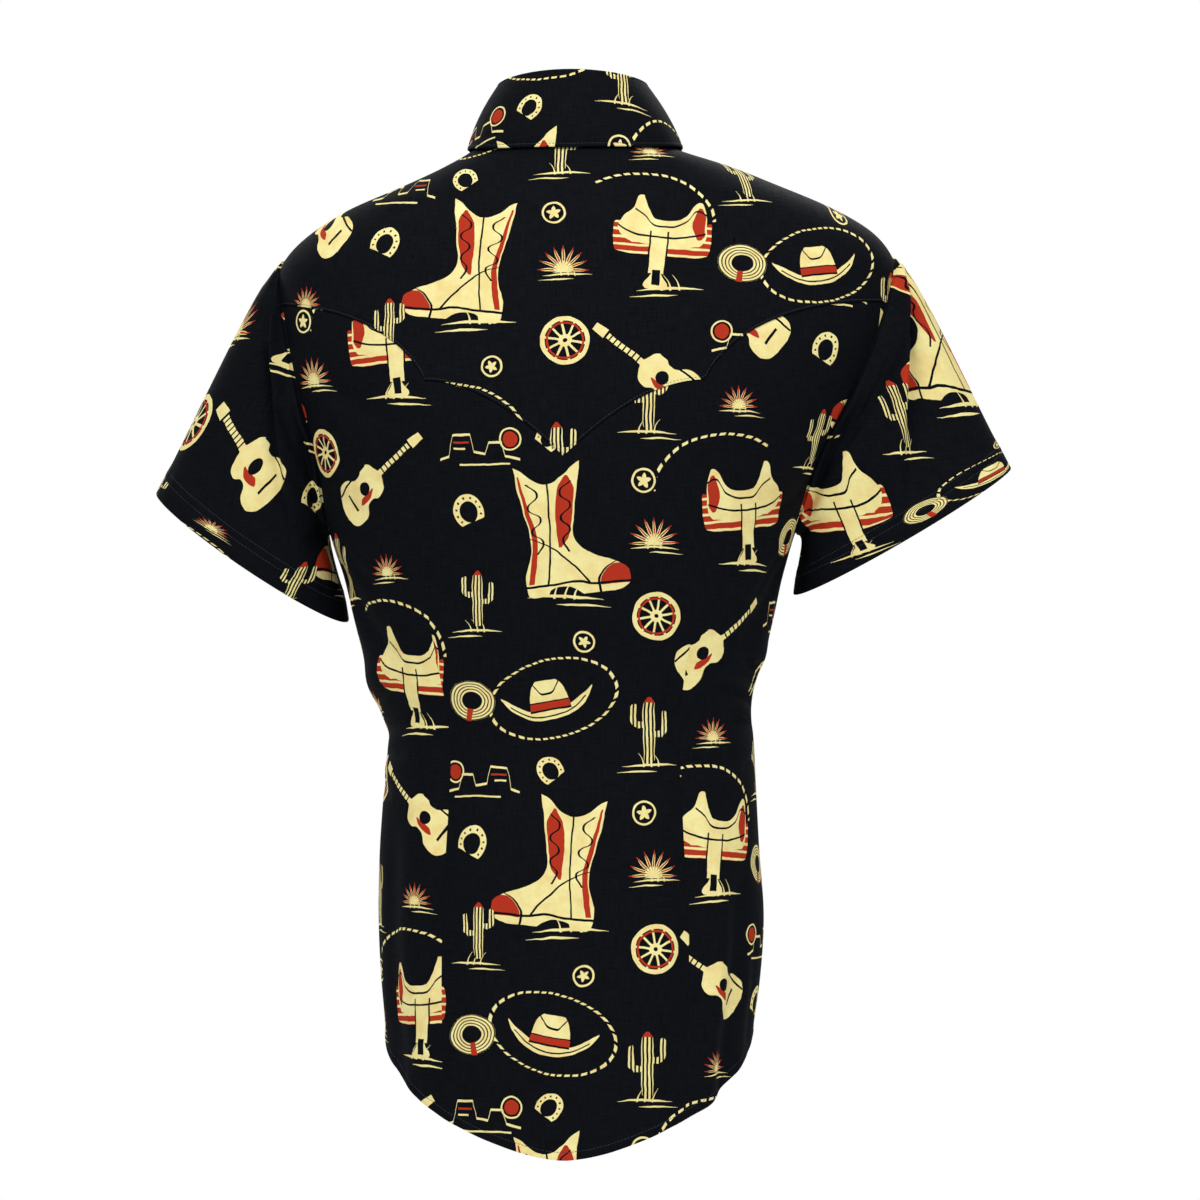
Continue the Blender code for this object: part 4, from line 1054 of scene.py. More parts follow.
def make_snaps(pearl, rim):
    pattern = one_snap(pearl, rim)
    places = []
    middle, half_up = np.array(2.0), np.array(0.5)
    out = sheet_normals(stand_point, middle, half_up)
    places.append((stand_point(middle, half_up) + 2 * HALF_SEAM * out, out))
    for height in SNAP_HEIGHTS:
        level = np.array(height)
        for _ in range(12):
            level = level + 0.8 * (height - body(2.0, level)[0][2])
        point, out = body(2.0, level)
        places.append((point + (WALL + 5 * HALF_SEAM) * out, out))
    for number, (place, out) in enumerate(places, start=1):
        snap = pattern.copy()
        snap.data = pattern.data.copy()
        snap.name = snap.data.name = f"pearl_snap_{number}"
        turn = Vector(out).to_track_quat("Z", "Y").to_matrix().to_4x4()
        snap.data.transform(Matrix.Translation(place) @ turn)
        bpy.context.collection.objects.link(snap)
        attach(snap, "root")
        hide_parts(f"snap_{number}")
    bpy.data.objects.remove(pattern)


# ---------------------------------------------------------------- materials

def colour(hexadecimal):
    """Linear colour from an sRGB hex value."""
    channels = [int(hexadecimal[i:i + 2], 16) / 255 for i in (1, 3, 5)]
    return tuple(c / 12.92 if c <= 0.04045 else ((c + 0.055) / 1.055) ** 2.4 for c in channels) + (1,)


def add(tree, kind, *values, out=0, **settings):
    """Add a shader node, with its settings and its inputs in order (None leaves an input as it is), and
    give an output."""
    node = tree.nodes.new("ShaderNode" + kind)
    for name, value in settings.items():
        setattr(node, name, value)
    sockets = [socket for socket in node.inputs if socket.enabled]
    for socket, value in zip(sockets, values):
        if isinstance(value, bpy.types.NodeSocket):
            tree.links.new(value, socket)
        elif value is not None:
            socket.default_value = value
    return node.outputs[out]


def new_material(name):
    material = bpy.data.materials.new(name)
    material.use_nodes = True
    return material, material.node_tree, material.node_tree.nodes["Principled BSDF"]


def dress(tree, shader, shade, rough, bump):
    """Link a colour, a roughness and a bump to a shader."""
    for socket, output in (("Base Color", shade), ("Roughness", rough), ("Normal", bump)):
        tree.links.new(output, shader.inputs[socket])


PLY_SCALE, BAND_SCALE = 520.0, 75.0  # a wave's bands lie 0.31 m apart at scale 1

# The print's repeat in millimetres, and how far the next column is dropped.
REPEAT_ACROSS, REPEAT_UP, DROP = 280.0, 256.0, 128.0

# Charts of the print, in millimetres from each motif's middle. A row of a shape gives its two edges
# across the row, and a row of a line gives where the line is. A boot, a guitar, a hat's crown and a trunk
# are charted by height, and a saddle, a brim and the rest along their length.

BOOT = table(Shape, (-76, -38, 56), (-73, -43, 68), (-64, -45, 76), (-52, -45, 75), (-42, -42, 62),
             (-32, -38, 38), (-20, -35, 21), (-4, -35, 15), (20, -39, 19), (50, -44, 25),
             (74, -46, 30), (80, -47, 31))
BOOT_TOP = table(Line, (-50, 78), (-40, 73), (-26, 60), (-8, 54), (8, 61), (22, 73), (32, 78))
BOOT_ARCH = table(Line, (-22, -80), (-17, -69), (-2, -66), (12, -70), (24, -80))
BOOT_WELT = table(Line, (-50, -63), (-16, -63), (8, -61), (40, -66), (80, -66))
BOOT_TOE = table(Line, (-76, 40), (-64, 39), (-54, 44), (-44, 56), (-38, 76))
BOOT_VAMP = table(Line, (-66, 30), (-48, 17), (-34, 4), (-22, -8), (-14, -20), (-6, -40))
BOOT_SEAM = table(Line, (-64, -20), (-40, -16), (-10, -12), (20, -10), (60, -9))
BOOT_SCROLL = table(Line, (-26, 8), (-12, 3), (0, 12), (14, 3), (28, 15), (42, 5), (56, 18))
BOOT_SCROLL_BACK = table(Line, (-26, -28), (-12, -20), (0, -32), (14, -20), (28, -34), (42, -22), (56, -34))
BOOT_PANEL = table(Shape, (-20, -3, 0), (-8, -3, 10), (8, -3, 14), (26, -2, 18), (46, 2, 21), (62, 12, 15))
BOOT_SHADE = table(Shape, (-60, -42, -36), (-40, -38, -31), (-10, -33, -27), (24, -38, -33), (66, -43, -41))

SADDLE = table(Shape, (-56, -8, -4), (-52, -20, 26), (-45, -25, 38), (-38, -26, 33), (-28, -27, 16),
               (-8, -27, 8), (10, -26, 10), (18, -26, 22), (24, -25, 36), (28, -24, 43), (34, -24, 41),
               (38, -23, 24), (50, -16, 10), (56, -6, -2))
BLANKET = table(Shape, (-62, -20, 6), (-58, -37, 8), (-20, -40, 2), (20, -40, 2), (56, -36, 4),
                (61, -18, 0))
SEAT_LINE = table(Line, (-54, 20), (-44, 25), (-28, 7), (-8, -1), (10, 0), (24, 14), (36, 22))
SKIRT_LINE = table(Line, (-54, -6), (-36, -12), (-10, -16), (20, -15), (44, -9), (56, -2))
FENDER = table(Shape, (-64, -8, 12), (-50, -8, 12), (-26, -7, 14), (-8, -2, 10))
STIRRUP = table(Shape, (-84, -10, 14), (-80, -13, 17), (-68, -6, 10), (-62, -3, 7))
CANTLE_SHADE = table(Shape, (-53, -10, 18), (-46, -16, 30), (-41, -8, 22), (-37, 2, 8))

HAT = table(Shape, (-10, -25, 25), (4, -23, 24), (16, -20, 22), (24, -17, 19), (30, -11, 14))
HAT_BRIM = table(Shape, (-54, 14, 16), (-46, 2, 10), (-34, -9, 3), (-12, -17, -6), (6, -18, -8),
                 (26, -14, -4), (42, -4, 6), (52, 6, 13), (58, 15, 17))
HAT_CREASE = table(Line, (-18, 32), (-12, 24), (-4, 15), (6, 14), (14, 22), (20, 32))
HAT_FOLD = table(Line, (-44, 4), (-26, -8), (4, -14), (28, -9), (48, 5))

TRUNK = table(Shape, (-44, -5, 5), (-38, -7, 7), (10, -8, 8), (34, -7, 7), (42, -2, 2))
ARM_HIGH = table(Shape, (-27, 10, 14), (-25, -2, 22), (-19, -7, 24), (-16, -9, 0), (-6, -9, -2))
ARM_LOW = table(Shape, (6, 2, 10), (14, 1, 10), (17, 2, 32), (23, 7, 32), (26, 16, 26))

GUITAR = table(Shape, (-76, -10, 10), (-72, -22, 22), (-60, -29, 29), (-46, -27, 27), (-35, -18, 18),
               (-27, -17, 17), (-16, -22, 22), (-6, -19, 19), (0, -9, 9), (3, -3.6, 3.6),
               (54, -3.2, 3.2), (57, -6, 6), (74, -5, 5))
GUARD = table(Shape, (-46, 10, 12), (-38, 6, 14), (-28, 7, 14), (-18, 7, 9))

MESA = table(Line, (-40, 0), (-31, 3), (-27, 24), (-9, 25), (-5, 8), (7, 6), (10, 17), (23, 17), (27, 3),
             (42, 0))
STROKE_LONG = table(Shape, (-36, 0, 0.2), (-16, 0.2, 2.6), (6, -0.2, 2.4), (32, -1.6, -1.4))
STROKE_SHORT = table(Shape, (-10, -6.2, -6), (8, -7.2, -5), (38, -8.4, -8.2))
BLADE = table(Line, (-1, -3), (5, -2), (11, 1), (17, 6))


def chart(tree, at, rows, value=lambda row: row.value, handle="AUTO_CLAMPED"):
    """A curve through a chart's rows: value of each row, by its at."""
    curve = add(tree, "FloatCurve", 1.0, at)
    mapping = curve.node.mapping
    mapping.use_clip = False
    mapping.extend = "HORIZONTAL"
    points = mapping.curves[0].points
    heights = [value(row) for row in rows]
    points[0].location, points[1].location = (rows[0].at, heights[0]), (rows[-1].at, heights[-1])
    for row, height in zip(rows[1:-1], heights[1:-1]):
        points.new(row.at, height)
    for point in points:
        point.handle_type = handle
    mapping.update()
    return curve


def both(tree, *masks):
    """Where all of the masks are 1."""
    first, *others = masks
    for other in others:
        first = add(tree, "Math", first, other, operation="MULTIPLY")
    return first


def near(tree, value, middle, half):
    """1 where a value is within half of middle."""
    return add(tree, "Math", value, middle, half, operation="COMPARE")


def span(tree, at, rows):
    """1 from a chart's first row to its last."""
    return near(tree, at, (rows[-1].at + rows[0].at) / 2, (rows[-1].at - rows[0].at) / 2)


def shape(tree, at, across, rows):
    """1 inside a shape that is charted by its two edges, and 0 outside."""
    middle = chart(tree, at, rows, lambda row: (row.low + row.high) / 2)
    half = chart(tree, at, rows, lambda row: (row.high - row.low) / 2)
    return both(tree, near(tree, across, middle, half), span(tree, at, rows))


def line(tree, at, across, rows, width, handle="AUTO_CLAMPED"):
    """1 on a line that is charted by where it lies across, and 0 beside it."""
    middle = chart(tree, at, rows, handle=handle)
    return both(tree, near(tree, across, middle, width / 2), span(tree, at, rows))


class Print:
    """The print's two inks, built up motif by motif: cream, and red beside it."""

    def __init__(self, tree, flat):
        self.tree, self.flat = tree, flat
        self.cream = self.red = None

    def motif(self, across, up, turn=0.0, scale=1.0):
        """The tree, and coordinates from the middle of a motif that comes once in each repeat."""
        tree = self.tree
        moved = add(tree, "VectorMath", self.flat, (across, up, 0), operation="SUBTRACT")
        side, height, _ = add(tree, "SeparateXYZ", moved).node.outputs
        column = self.whole(side, REPEAT_ACROSS)
        side = add(tree, "Math", column, -REPEAT_ACROSS, side, operation="MULTIPLY_ADD")
        height = add(tree, "Math", column, -DROP, height, operation="MULTIPLY_ADD")
        row = self.whole(height, REPEAT_UP)
        height = add(tree, "Math", row, -REPEAT_UP, height, operation="MULTIPLY_ADD")
        # Every other one, across and up, faces the other way.
        odd = add(tree, "Math", add(tree, "Math", column, row, operation="ADD"), 1.0, operation="PINGPONG")
        facing = add(tree, "Math", odd, -2.0, 1.0, operation="MULTIPLY_ADD")
        self.place = add(tree, "CombineXYZ", both(tree, side, facing), height, 0.0)
        if turn or scale != 1:
            self.place = add(tree, "Mapping", self.place, (0, 0, 0), (0, 0, math.radians(turn)),
                             (scale, scale, 1), vector_type="TEXTURE")
        self.x, self.y, _ = add(tree, "SeparateXYZ", self.place).node.outputs
        return tree, self.x, self.y

    def whole(self, distance, repeat):
        """Which repeat a distance is in."""
        share = add(self.tree, "Math", distance, repeat, operation="DIVIDE")
        return add(self.tree, "Math", share, operation="ROUND")

    def distance(self, stretch=None):
        """Distance from the motif's middle, across and up by the stretch."""
        place = self.place
        if stretch:
            place = add(self.tree, "VectorMath", place, (*stretch, 0), operation="MULTIPLY")
        return add(self.tree, "VectorMath", place, operation="LENGTH", out=1)

    def angle(self, fold=None):
        """The angle about the motif's middle, folded to and fro where fold says how far."""
        angle = add(self.tree, "Math", self.y, self.x, operation="ARCTAN2")
        return add(self.tree, "Math", angle, fold, operation="PINGPONG") if fold else angle

    def bare(self, *masks):
        """Leave the ground showing here, in both inks."""
        for mask in masks:
            for ink in ("cream", "red"):
                before = getattr(self, ink)
                if before is not None:
                    left = add(self.tree, "Math", before, mask, operation="SUBTRACT", use_clamp=True)
                    setattr(self, ink, left)

    def lay(self, ink, *masks):
        """Lay cream or red ink here."""
        for mask in masks:
            before = getattr(self, ink)
            if before is not None:
                mask = add(self.tree, "Math", before, mask, operation="MAXIMUM")
            setattr(self, ink, mask)

    def cover(self, ink, *masks):
        """Lay an ink here, in place of what was there."""
        for mask in masks:
            self.bare(mask)
            self.lay(ink, mask)


def draw_boot(inks, across, up, turn, scale):
    tree, x, y = inks.motif(across, up, turn, scale)
    under = add(tree, "Math", y, chart(tree, x, BOOT_TOP), operation="LESS_THAN")
    over = add(tree, "Math", y, chart(tree, x, BOOT_ARCH), operation="GREATER_THAN")
    inside = both(tree, shape(tree, y, x, BOOT), under, over)
    inks.cover("cream", inside)
    inks.cover("red", shape(tree, y, x, BOOT_PANEL), shape(tree, y, x, BOOT_SHADE))
    inks.bare(line(tree, y, x, BOOT_SCROLL, 2.6), line(tree, y, x, BOOT_SCROLL_BACK, 2.6))
    toe = add(tree, "Math", x, chart(tree, y, BOOT_TOE), operation="SUBTRACT")
    inks.cover("red", both(tree, inside, near(tree, y, -56, 12), near(tree, toe, 52, 50)))
    inks.bare(both(tree, inside, near(tree, toe, 0.0, 1.5)))
    inks.bare(both(tree, inside, line(tree, x, y, BOOT_WELT, 2.8)), line(tree, y, x, BOOT_VAMP, 3.0))
    inks.bare(both(tree, inside, line(tree, y, x, BOOT_SEAM, 2.2)))


def draw_saddle(inks, across, up, turn, scale):
    tree, x, y = inks.motif(across, up, turn, scale)
    blanket = shape(tree, x, y, BLANKET)
    inks.cover("red", blanket)
    stripes = near(tree, add(tree, "Math", y, 10.0, 0.0, operation="WRAP"), 2.0, 1.6)
    inks.cover("cream", both(tree, blanket, stripes))
    inks.cover("cream", shape(tree, x, y, SADDLE), shape(tree, y, x, FENDER), shape(tree, y, x, STIRRUP))
    inks.bare(both(tree, near(tree, y, -69, 10), near(tree, x, 2.0, 5.0)))
    inks.cover("red", shape(tree, x, y, CANTLE_SHADE))
    inks.bare(line(tree, x, y, SEAT_LINE, 2.6), line(tree, x, y, SKIRT_LINE, 2.6))
    inks.bare(*(both(tree, near(tree, y, -36, 28), near(tree, x, edge, 1.1)) for edge in (14.0, -8.0)))


def draw_hat(inks, across, up, turn, scale):
    tree, x, y = inks.motif(across, up, turn, scale)
    crown = shape(tree, y, x, HAT)
    inks.cover("cream", crown, shape(tree, x, y, HAT_BRIM))
    inks.bare(both(tree, crown, near(tree, y, -1, 6)))
    inks.lay("red", both(tree, crown, near(tree, y, -0.5, 4)))
    inks.bare(line(tree, x, y, HAT_CREASE, 2.6), line(tree, x, y, HAT_FOLD, 1.8))


def draw_rope(inks, across, up, turn, wide, high, middle=0.0, reach=180.0):
    """A loop of twisted rope, or the part of one that lies within reach degrees of its middle."""
    tree, _, _ = inks.motif(across, up, turn)
    distance, angle = inks.distance((1 / wide, 1 / high)), inks.angle()
    turns = add(tree, "Math", angle, 38.0, operation="MULTIPLY")
    twist = add(tree, "Math", distance, 26.0, turns, operation="MULTIPLY_ADD")
    strands = add(tree, "Math", add(tree, "Math", twist, operation="SINE"), -0.45, operation="GREATER_THAN")
    part = near(tree, angle, math.radians(middle), math.radians(reach))
    inks.bare(both(tree, part, near(tree, distance, 1.0, 2.8 / wide)))
    inks.lay("cream", both(tree, part, both(tree, near(tree, distance, 1.0, 1.3 / wide), strands)))


def draw_wheel(inks, across, up, turn, radius):
    tree, _, _ = inks.motif(across, up, turn)
    distance = inks.distance()
    inks.bare(add(tree, "Math", distance, radius, operation="LESS_THAN"))
    inks.lay("cream", near(tree, distance, radius - 1.8, 1.7))
    inks.lay("red", near(tree, distance, radius - 5.2, 0.8))
    spoke = add(tree, "Math", both(tree, inks.angle(math.pi / 10), distance), 0.85, operation="LESS_THAN")
    inks.lay("cream", both(tree, spoke, near(tree, distance, radius / 2, radius / 2 - 3)),
             near(tree, distance, 3.2, 1.6))


def draw_saguaro(inks, across, up, turn, scale):
    tree, x, y = inks.motif(across, up, turn, scale)
    plant = trunk = shape(tree, y, x, TRUNK)
    for rows in (ARM_HIGH, ARM_LOW):
        plant = add(tree, "Math", plant, shape(tree, x, y, rows), operation="MAXIMUM")
    inks.bare(plant)
    fold = add(tree, "Math", x, 2.6, operation="PINGPONG")
    ribs = add(tree, "Math", fold, 1.25, operation="GREATER_THAN")
    inks.lay("cream", both(tree, plant, ribs))
    inks.cover("red", both(tree, trunk, near(tree, y, 39, 4)))


def draw_star(inks, across, up, turn, radius):
    """A five-pointed star in a ring, as on a badge."""
    tree, _, _ = inks.motif(across, up, turn)
    distance = inks.distance()
    fold = inks.angle(math.pi / 5)
    edge = add(tree, "Math", fold, -0.56 * radius / (math.pi / 5), radius, operation="MULTIPLY_ADD")
    inks.bare(add(tree, "Math", distance, radius + 5, operation="LESS_THAN"))
    inks.lay("cream", add(tree, "Math", distance, edge, operation="LESS_THAN"),
             near(tree, distance, radius + 2.6, 0.8))


def draw_horseshoe(inks, across, up, turn, scale):
    tree, _, y = inks.motif(across, up, turn, scale)
    distance = inks.distance((1, 0.82))
    arms = add(tree, "Math", y, -16.0, operation="GREATER_THAN")
    inks.cover("cream", both(tree, near(tree, distance, 18, 4.6), arms))
    nails = add(tree, "Math", inks.angle(0.26), 0.07, operation="LESS_THAN")
    inks.bare(both(tree, nails, near(tree, distance, 18, 1.5)))


def draw_guitar(inks, across, up, turn, scale):
    tree, x, y = inks.motif(across, up, turn, scale)
    inside = shape(tree, y, x, GUITAR)
    inks.cover("cream", inside)
    inks.cover("red", shape(tree, y, x, GUARD))
    hole = add(tree, "VectorMath", inks.place, (0, -28, 0), operation="DISTANCE", out=1)
    inks.bare(add(tree, "Math", hole, 8.0, operation="LESS_THAN"))
    inks.bare(both(tree, near(tree, y, -57, 1.8), near(tree, x, 0, 12)))
    frets = near(tree, add(tree, "Math", y, 7.0, 0.0, operation="WRAP"), 1.0, 1.0)
    inks.bare(both(tree, inside, frets, near(tree, y, 29, 24)), both(tree, inside, near(tree, y, 56, 1.4)),
              both(tree, near(tree, y, -41, 31), near(tree, x, -21.5, 1.3)))


def draw_mesa(inks, across, up, turn, scale):
    """Two flat-topped hills in outline before a low sun."""
    tree, x, y = inks.motif(across, up, turn, scale)
    sun = add(tree, "VectorMath", inks.place, (32, 20, 0), operation="DISTANCE", out=1)
    inks.lay("red", add(tree, "Math", sun, 7.5, operation="LESS_THAN"))
    inks.lay("cream", near(tree, sun, 10.5, 0.9), line(tree, x, y, MESA, 2.4, "VECTOR"))
    inks.lay("red", both(tree, near(tree, y, 17, 1.0), near(tree, x, -18, 8)))
    inks.lay("cream", both(tree, near(tree, y, 11, 0.9), near(tree, x, -20, 6)),
             both(tree, near(tree, y, -5, 0.9), near(tree, x, 6, 26)))


def draw_agave(inks, across, up, turn, radius):
    """An agave: a fan of pointed leaves with red ribs."""
    tree, _, y = inks.motif(across, up, turn)
    distance, fold = inks.distance(), inks.angle(math.pi / 16)
    edge = add(tree, "Math", fold, -0.85 * radius / (math.pi / 16), radius, operation="MULTIPLY_ADD")
    leaves = both(tree, add(tree, "Math", distance, edge, operation="LESS_THAN"),
                  add(tree, "Math", y, -0.1 * radius, operation="GREATER_THAN"))
    inks.lay("cream", leaves)
    rib = both(tree, leaves, near(tree, both(tree, fold, distance), 0.0, 0.55))
    inks.cover("red", both(tree, rib, add(tree, "Math", distance, 0.35 * radius, operation="GREATER_THAN")))


def draw_coil(inks, across, up, turn, wide, high):
    """A rope in a coil of four turns."""
    tree, x, y = inks.motif(across, up, turn)
    distance = inks.distance((1 / wide, 1 / high))
    coil = near(tree, distance, 0.78, 0.30)
    inks.bare(coil)
    turns = add(tree, "Math", distance, 0.075, operation="PINGPONG")
    strands = add(tree, "Math", turns, 0.026, operation="GREATER_THAN")
    inks.lay("cream", both(tree, coil, strands))
    inks.cover("red", both(tree, near(tree, x, 0.0, 2.4), near(tree, y, -0.78 * high, 0.34 * high)))


def draw_ground(inks, across, up, scale):
    """Brushed strokes of ground with three blades of grass."""
    tree, x, y = inks.motif(across, up, 0, scale)
    inks.lay("cream", shape(tree, x, y, STROKE_LONG), shape(tree, x, y, STROKE_SHORT))
    blade = add(tree, "Math", x, -4.5, 4.5, operation="WRAP")
    taper = add(tree, "MapRange", y, 0.0, 17.0, 1.0, 0.1)
    blades = both(tree, near(tree, blade, chart(tree, y, BLADE), taper), near(tree, x, 0, 13.5))
    inks.lay("cream", both(tree, blades, span(tree, y, BLADE)))


# The motifs of one repeat, in the order of printing: how each is drawn, where (across and up), how far it
# is turned, and its size. The ground is never turned.
MOTIFS = [
    (draw_ground, 4, -56, 0.86), (draw_ground, 150, -30, 0.76), (draw_ground, 66, 70, 0.66),
    (draw_ground, 212, 46, 0.60), (draw_ground, 72, -18, 0.56), (draw_ground, 138, 87, 0.50),
    (draw_mesa, 216, -78, 0, 0.76), (draw_rope, 128, 26, 0, 58, 44, 128, 82),
    (draw_rope, -8, 122, -14, 50, 30), (draw_hat, -10, 117, -10, 0.64), (draw_boot, -2, -4, 6, 0.66),
    (draw_saddle, 146, 22, 5, 0.62), (draw_guitar, 132, -88, -52, 0.64),
    (draw_wheel, 72, -70, 8, 19), (draw_saguaro, 66, 98, 0, 0.60),
    (draw_saguaro, 214, 72, 0, 0.50), (draw_agave, 70, -14, 0, 20), (draw_coil, 208, -8, 10, 18, 14),
    (draw_star, 62, 34, 12, 6), (draw_horseshoe, 208, -118, 24, 0.52), (draw_agave, 136, 91, 0, 16),
    (draw_star, 16, -90, -8, 5), (draw_horseshoe, -10, 66, -38, 0.44),
]


def printed_cotton(name, inks_show):
    """Cotton poplin, woven plain from fine yarn and printed in two inks on a near-black ground: matt,
    hardly lighter along its slubs, with crisp ink on its face and only a trace of it on the wrong
    side."""
    material, tree, shader = new_material(name)
    flat = add(tree, "VectorMath", add(tree, "UVMap", uv_map="cut"), 1000.0, operation="SCALE")
    hand = add(tree, "TexNoise", flat, 0.07, 2.0, 0.5, out=1)
    inks = Print(tree, add(tree, "VectorMath", hand, (2.2, 2.2, 0), flat, operation="MULTIPLY_ADD"))
    for draw, *where in MOTIFS:
        draw(inks, *where)
    # Slubs, the thicker places in the yarn. The yarns themselves are 0.2 mm apart, too fine to show.
    drawn_out = (add(tree, "VectorMath", flat, run, operation="MULTIPLY")
                 for run in ((0.9, 0.07, 0), (0.07, 0.9, 0)))
    warp, weft = (add(tree, "TexNoise", yarn, 1.0, 2.0, 0.6) for yarn in drawn_out)
    slubs = add(tree, "Math", warp, weft, operation="ADD")
    thickness = add(tree, "MapRange", slubs, 0.75, 1.25, 0.0, 1.0)
    # The cream was laid on a little unevenly, over 10 to 20 mm.
    ink = add(tree, "MapRange", add(tree, "TexNoise", flat, 0.06, 3.0, 0.6), 0.35, 0.70, 0.0, 0.85)
    ink = add(tree, "Math", thickness, 0.15, ink, operation="MULTIPLY_ADD")
    shade = add(tree, "Mix", thickness, colour(GROUND_COLOUR), colour(SLUB_COLOUR), data_type="RGBA", out=2)
    cream = add(tree, "Mix", ink, colour(CREAM_COLOUR), colour(GOLD_COLOUR), data_type="RGBA", out=2)
    for mask, inked in ((inks.cream, cream), (inks.red, colour(RED_COLOUR))):
        shows = add(tree, "Math", mask, inks_show, operation="MULTIPLY")
        shade = add(tree, "Mix", shows, shade, inked, data_type="RGBA", out=2)
    dress(tree, shader, shade, add(tree, "MapRange", slubs, 0.75, 1.25, 0.84, 0.74),
          add(tree, "Bump", 0.35, 0.0003, None, slubs))
    shader.inputs["Specular IOR Level"].default_value = 0.07
    return material


def sewing_thread():
    """Spun polyester thread in two plies, navy-black: matt, a little lighter than the cloth, with a slant
    to its plies. They are 0.2 mm apart, and drawn at 0.6 mm to show."""
    material, tree, shader = new_material("sewing thread")
    place = add(tree, "TexCoord", out=3)
    plies = add(tree, "TexWave", place, PLY_SCALE, 1.5, 2.0, bands_direction="DIAGONAL")
    shade = add(tree, "Mix", plies, colour("#20232c"), colour("#414654"), data_type="RGBA", out=2)
    dress(tree, shader, shade, add(tree, "MapRange", plies, 0.0, 1.0, 0.85, 0.6),
          add(tree, "Bump", 0.5, 0.00005, None, plies))
    shader.inputs["Specular IOR Level"].default_value = 0.3
    return material


def pearl_cap():
    """Polyester cast with pearl essence, as on shirt snaps: glossy and clear on top, with bands of cream,
    rose and grey that drift across it a few millimetres apart."""
    material, tree, shader = new_material("pearl cap of the snaps")
    place = add(tree, "TexCoord", out=3)
    bands = add(tree, "TexWave", place, BAND_SCALE, 7.0, 2.0, 1.2, bands_direction="X")
    cloud = add(tree, "TexNoise", place, 420.0, 2.0, 0.6)
    shade = add(tree, "Mix", bands, colour("#f1ead8"), colour("#b9b4b0"), data_type="RGBA", out=2)
    rosy = add(tree, "MapRange", cloud, 0.42, 0.62, 0.0, 0.55)
    shade = add(tree, "Mix", rosy, shade, colour("#e9cfc6"), data_type="RGBA", out=2)
    dress(tree, shader, shade, add(tree, "MapRange", cloud, 0.3, 0.7, 0.14, 0.26),
          add(tree, "Bump", 0.08, 0.00005, None, bands))
    shader.inputs["Coat Weight"].default_value = 0.6
    return material


def nickel_rim():
    """Brass, spun and nickel-plated: bright and faintly yellow, dulled in specks of about 0.3 mm by
    wear."""
    material, tree, shader = new_material("nickel rim of the snaps")
    wear = add(tree, "TexNoise", add(tree, "TexCoord", out=3), 3200.0, 3.0, 0.65)
    shade = add(tree, "Mix", wear, colour("#d2cec4"), colour("#a39e94"), data_type="RGBA", out=2)
    dress(tree, shader, shade, add(tree, "MapRange", wear, 0.3, 0.7, 0.16, 0.36),
          add(tree, "Bump", 0.1, 0.00003, None, wear))
    shader.inputs["Metallic"].default_value = 1.0
    return material


def floor_paint():
    """Matt emulsion rolled on board: pale grey with a soft stipple about 4 mm across."""
    material, tree, shader = new_material("matt floor paint")
    stipple = add(tree, "TexNoise", add(tree, "TexCoord", out=3), 250.0, 3.0, 0.5)
    shade = add(tree, "Mix", stipple, colour("#f0f0ef"), colour("#e6e6e5"), data_type="RGBA", out=2)
    dress(tree, shader, shade, add(tree, "MapRange", stipple, 0.3, 0.7, 0.85, 0.95),
          add(tree, "Bump", 0.15, 0.0003, None, stipple))
    return material


# ---------------------------------------------------------------- scene

TARGET = Vector((0, 0, -0.3584))
DISTANCE, CAMERA_TURN = 2.5, 183  # metres from TARGET, and degrees round from the wearer's front
PICTURE, PER_METRE, TARGET_ACROSS = 1200, 1250, 572  # pixels across: in all, in a metre, and to TARGET
FLOOR, FLOOR_RADIUS = -1.40, 2.2

Look = namedtuple("Look", "face wrong")  # the cloth's two sides

GROUND_COLOUR, SLUB_COLOUR = "#06080d", "#0d1016"
CREAM_COLOUR, GOLD_COLOUR, RED_COLOUR = "#fdf4ac", "#f1d88c", "#b6351f"
# Where each piece is cut from the printed cloth, in metres.
PLACE_ON_CLOTH = {
    "back_yoke": (0.070, 0.045), "front_yoke_left": (0.110, 0.020), "front_yoke_right": (0.030, 0.090),
    "placket": (0.093, 0.170), "collar_fall": (0.020, 0.100), "collar_stand": (0.160, 0.030),
    "sleeve_left": (0.060, 0.060), "sleeve_right": (0.020, 0.090), "front_left": (0.130, 0.020),
    "front_right": (0.010, 0.100), "back": (0.0, 0.0),
}


def add_light(name, place, size, power):
    light = bpy.data.lights.new(name, "AREA")
    light.size, light.energy = size, power
    lamp = bpy.data.objects.new(name, light)
    lamp.location = place
    lamp.rotation_euler = (TARGET - Vector(place)).to_track_quat("-Z", "Y").to_euler()
    bpy.context.collection.objects.link(lamp)


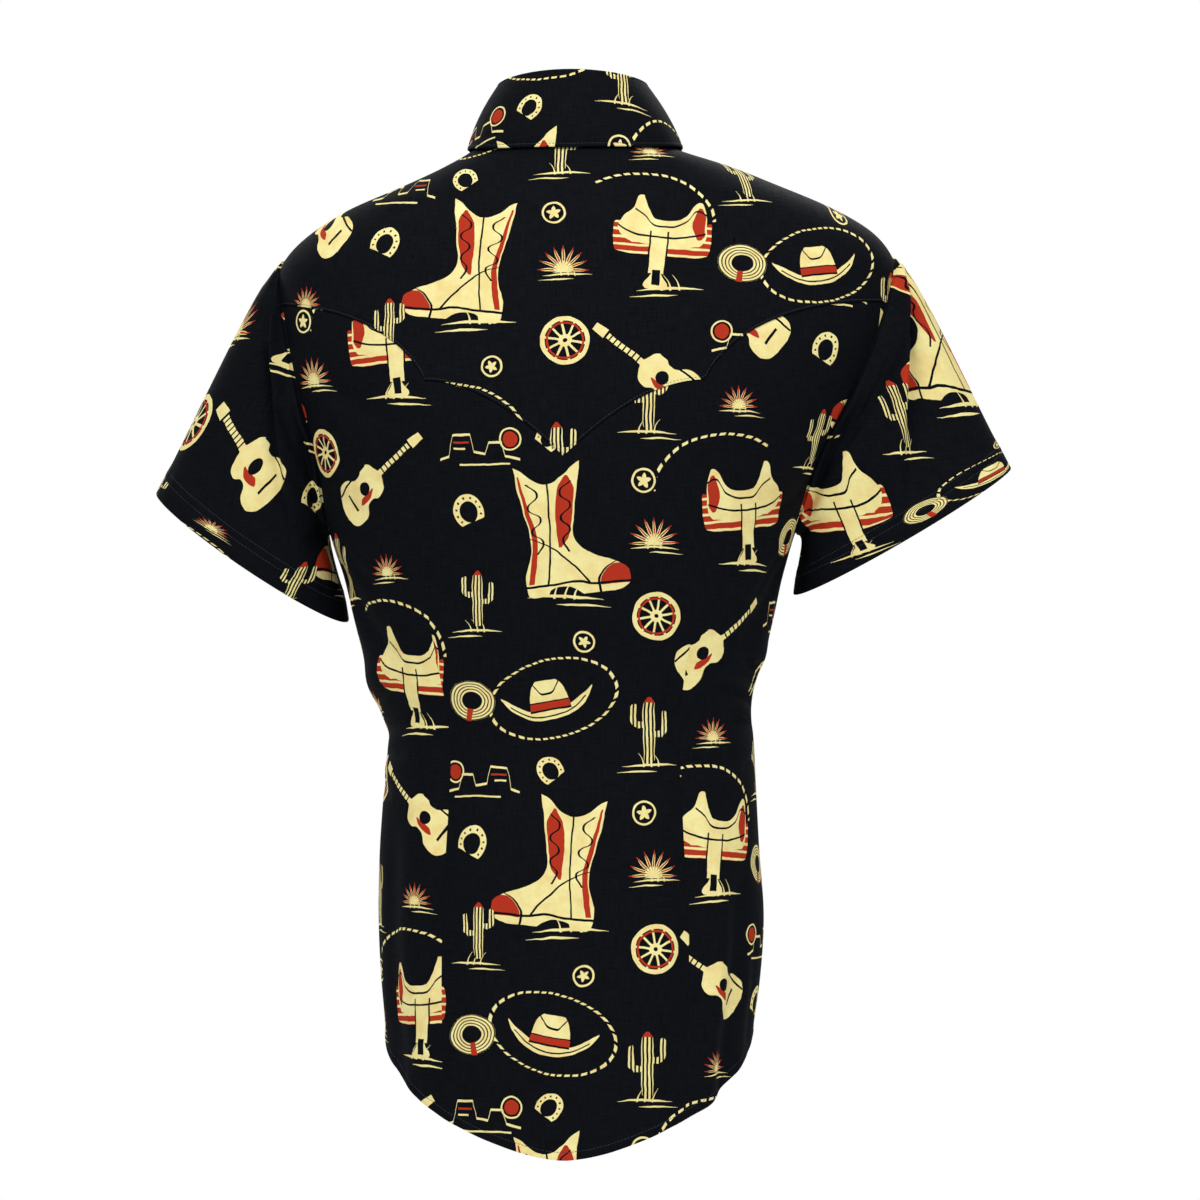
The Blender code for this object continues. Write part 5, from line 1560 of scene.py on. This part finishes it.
def make_studio():
    bpy.ops.mesh.primitive_circle_add(vertices=128, radius=FLOOR_RADIUS, fill_type="NGON",
                                      location=(0, 0, FLOOR))
    bpy.ops.object.transform_apply()
    floor = bpy.context.object
    floor.name = "floor"
    floor.data.materials.append(floor_paint())
    world = bpy.data.worlds.new("pale studio")
    world.use_nodes = True
    background = world.node_tree.nodes["Background"]
    background.inputs["Color"].default_value = colour("#ffffff")
    # The backdrop is white to the eye. As a light it is weaker, most of all from below.
    tree = world.node_tree
    height = add(tree, "SeparateXYZ", add(tree, "TexCoord"), out=2)
    light = add(tree, "MapRange", height, -0.5, 0.7, 0.12, 0.52)
    seen = add(tree, "LightPath")
    tree.links.new(add(tree, "Math", seen, light, operation="MAXIMUM"), background.inputs["Strength"])
    bpy.context.scene.world = world
    bpy.context.scene.view_settings.view_transform = "Standard"  # colours as they are, with no film look
    add_light("key", (0.9, 2.2, 1.7), 1.4, 46)
    add_light("fill", (-1.7, 1.8, 0.9), 1.6, 22)
    add_light("front key", (-0.9, -2.2, 1.7), 1.4, 36)
    add_light("front fill", (1.7, -1.8, 0.9), 1.6, 18)
    camera = bpy.data.objects.new("camera", bpy.data.cameras.new("camera"))
    bpy.context.collection.objects.link(camera)
    turn = math.radians(CAMERA_TURN)
    camera.location = TARGET + DISTANCE * Vector((math.sin(turn), -math.cos(turn), 0))
    camera.rotation_euler = (TARGET - camera.location).to_track_quat("-Z", "Y").to_euler()
    camera.data.sensor_width = 36
    camera.data.lens = camera.data.sensor_width * DISTANCE * PER_METRE / PICTURE
    camera.data.shift_x = (PICTURE / 2 - TARGET_ACROSS) / PICTURE
    bpy.context.scene.camera = camera


def main():
    look = Look(printed_cotton("printed cotton poplin", 1.0),
                printed_cotton("wrong side of the cotton poplin", 0.07))
    for side in (0, 1, -1):
        for yoke in (False, True):
            make_panel(look, side, yoke)
    make_placket(look)
    make_stand(look)
    make_fall(look)
    for sleeve in SLEEVES:
        make_sleeve(sleeve, look)
    thread = sewing_thread()
    groups = {}
    for name, row in stitch_rows.items():
        groups.setdefault("stitches_" + name.removesuffix("_0").removesuffix("_1"), []).append(row)
    for name, rows in groups.items():
        sew(name, rows, thread)
    make_snaps(pearl_cap(), nickel_rim())
    make_studio()


main()
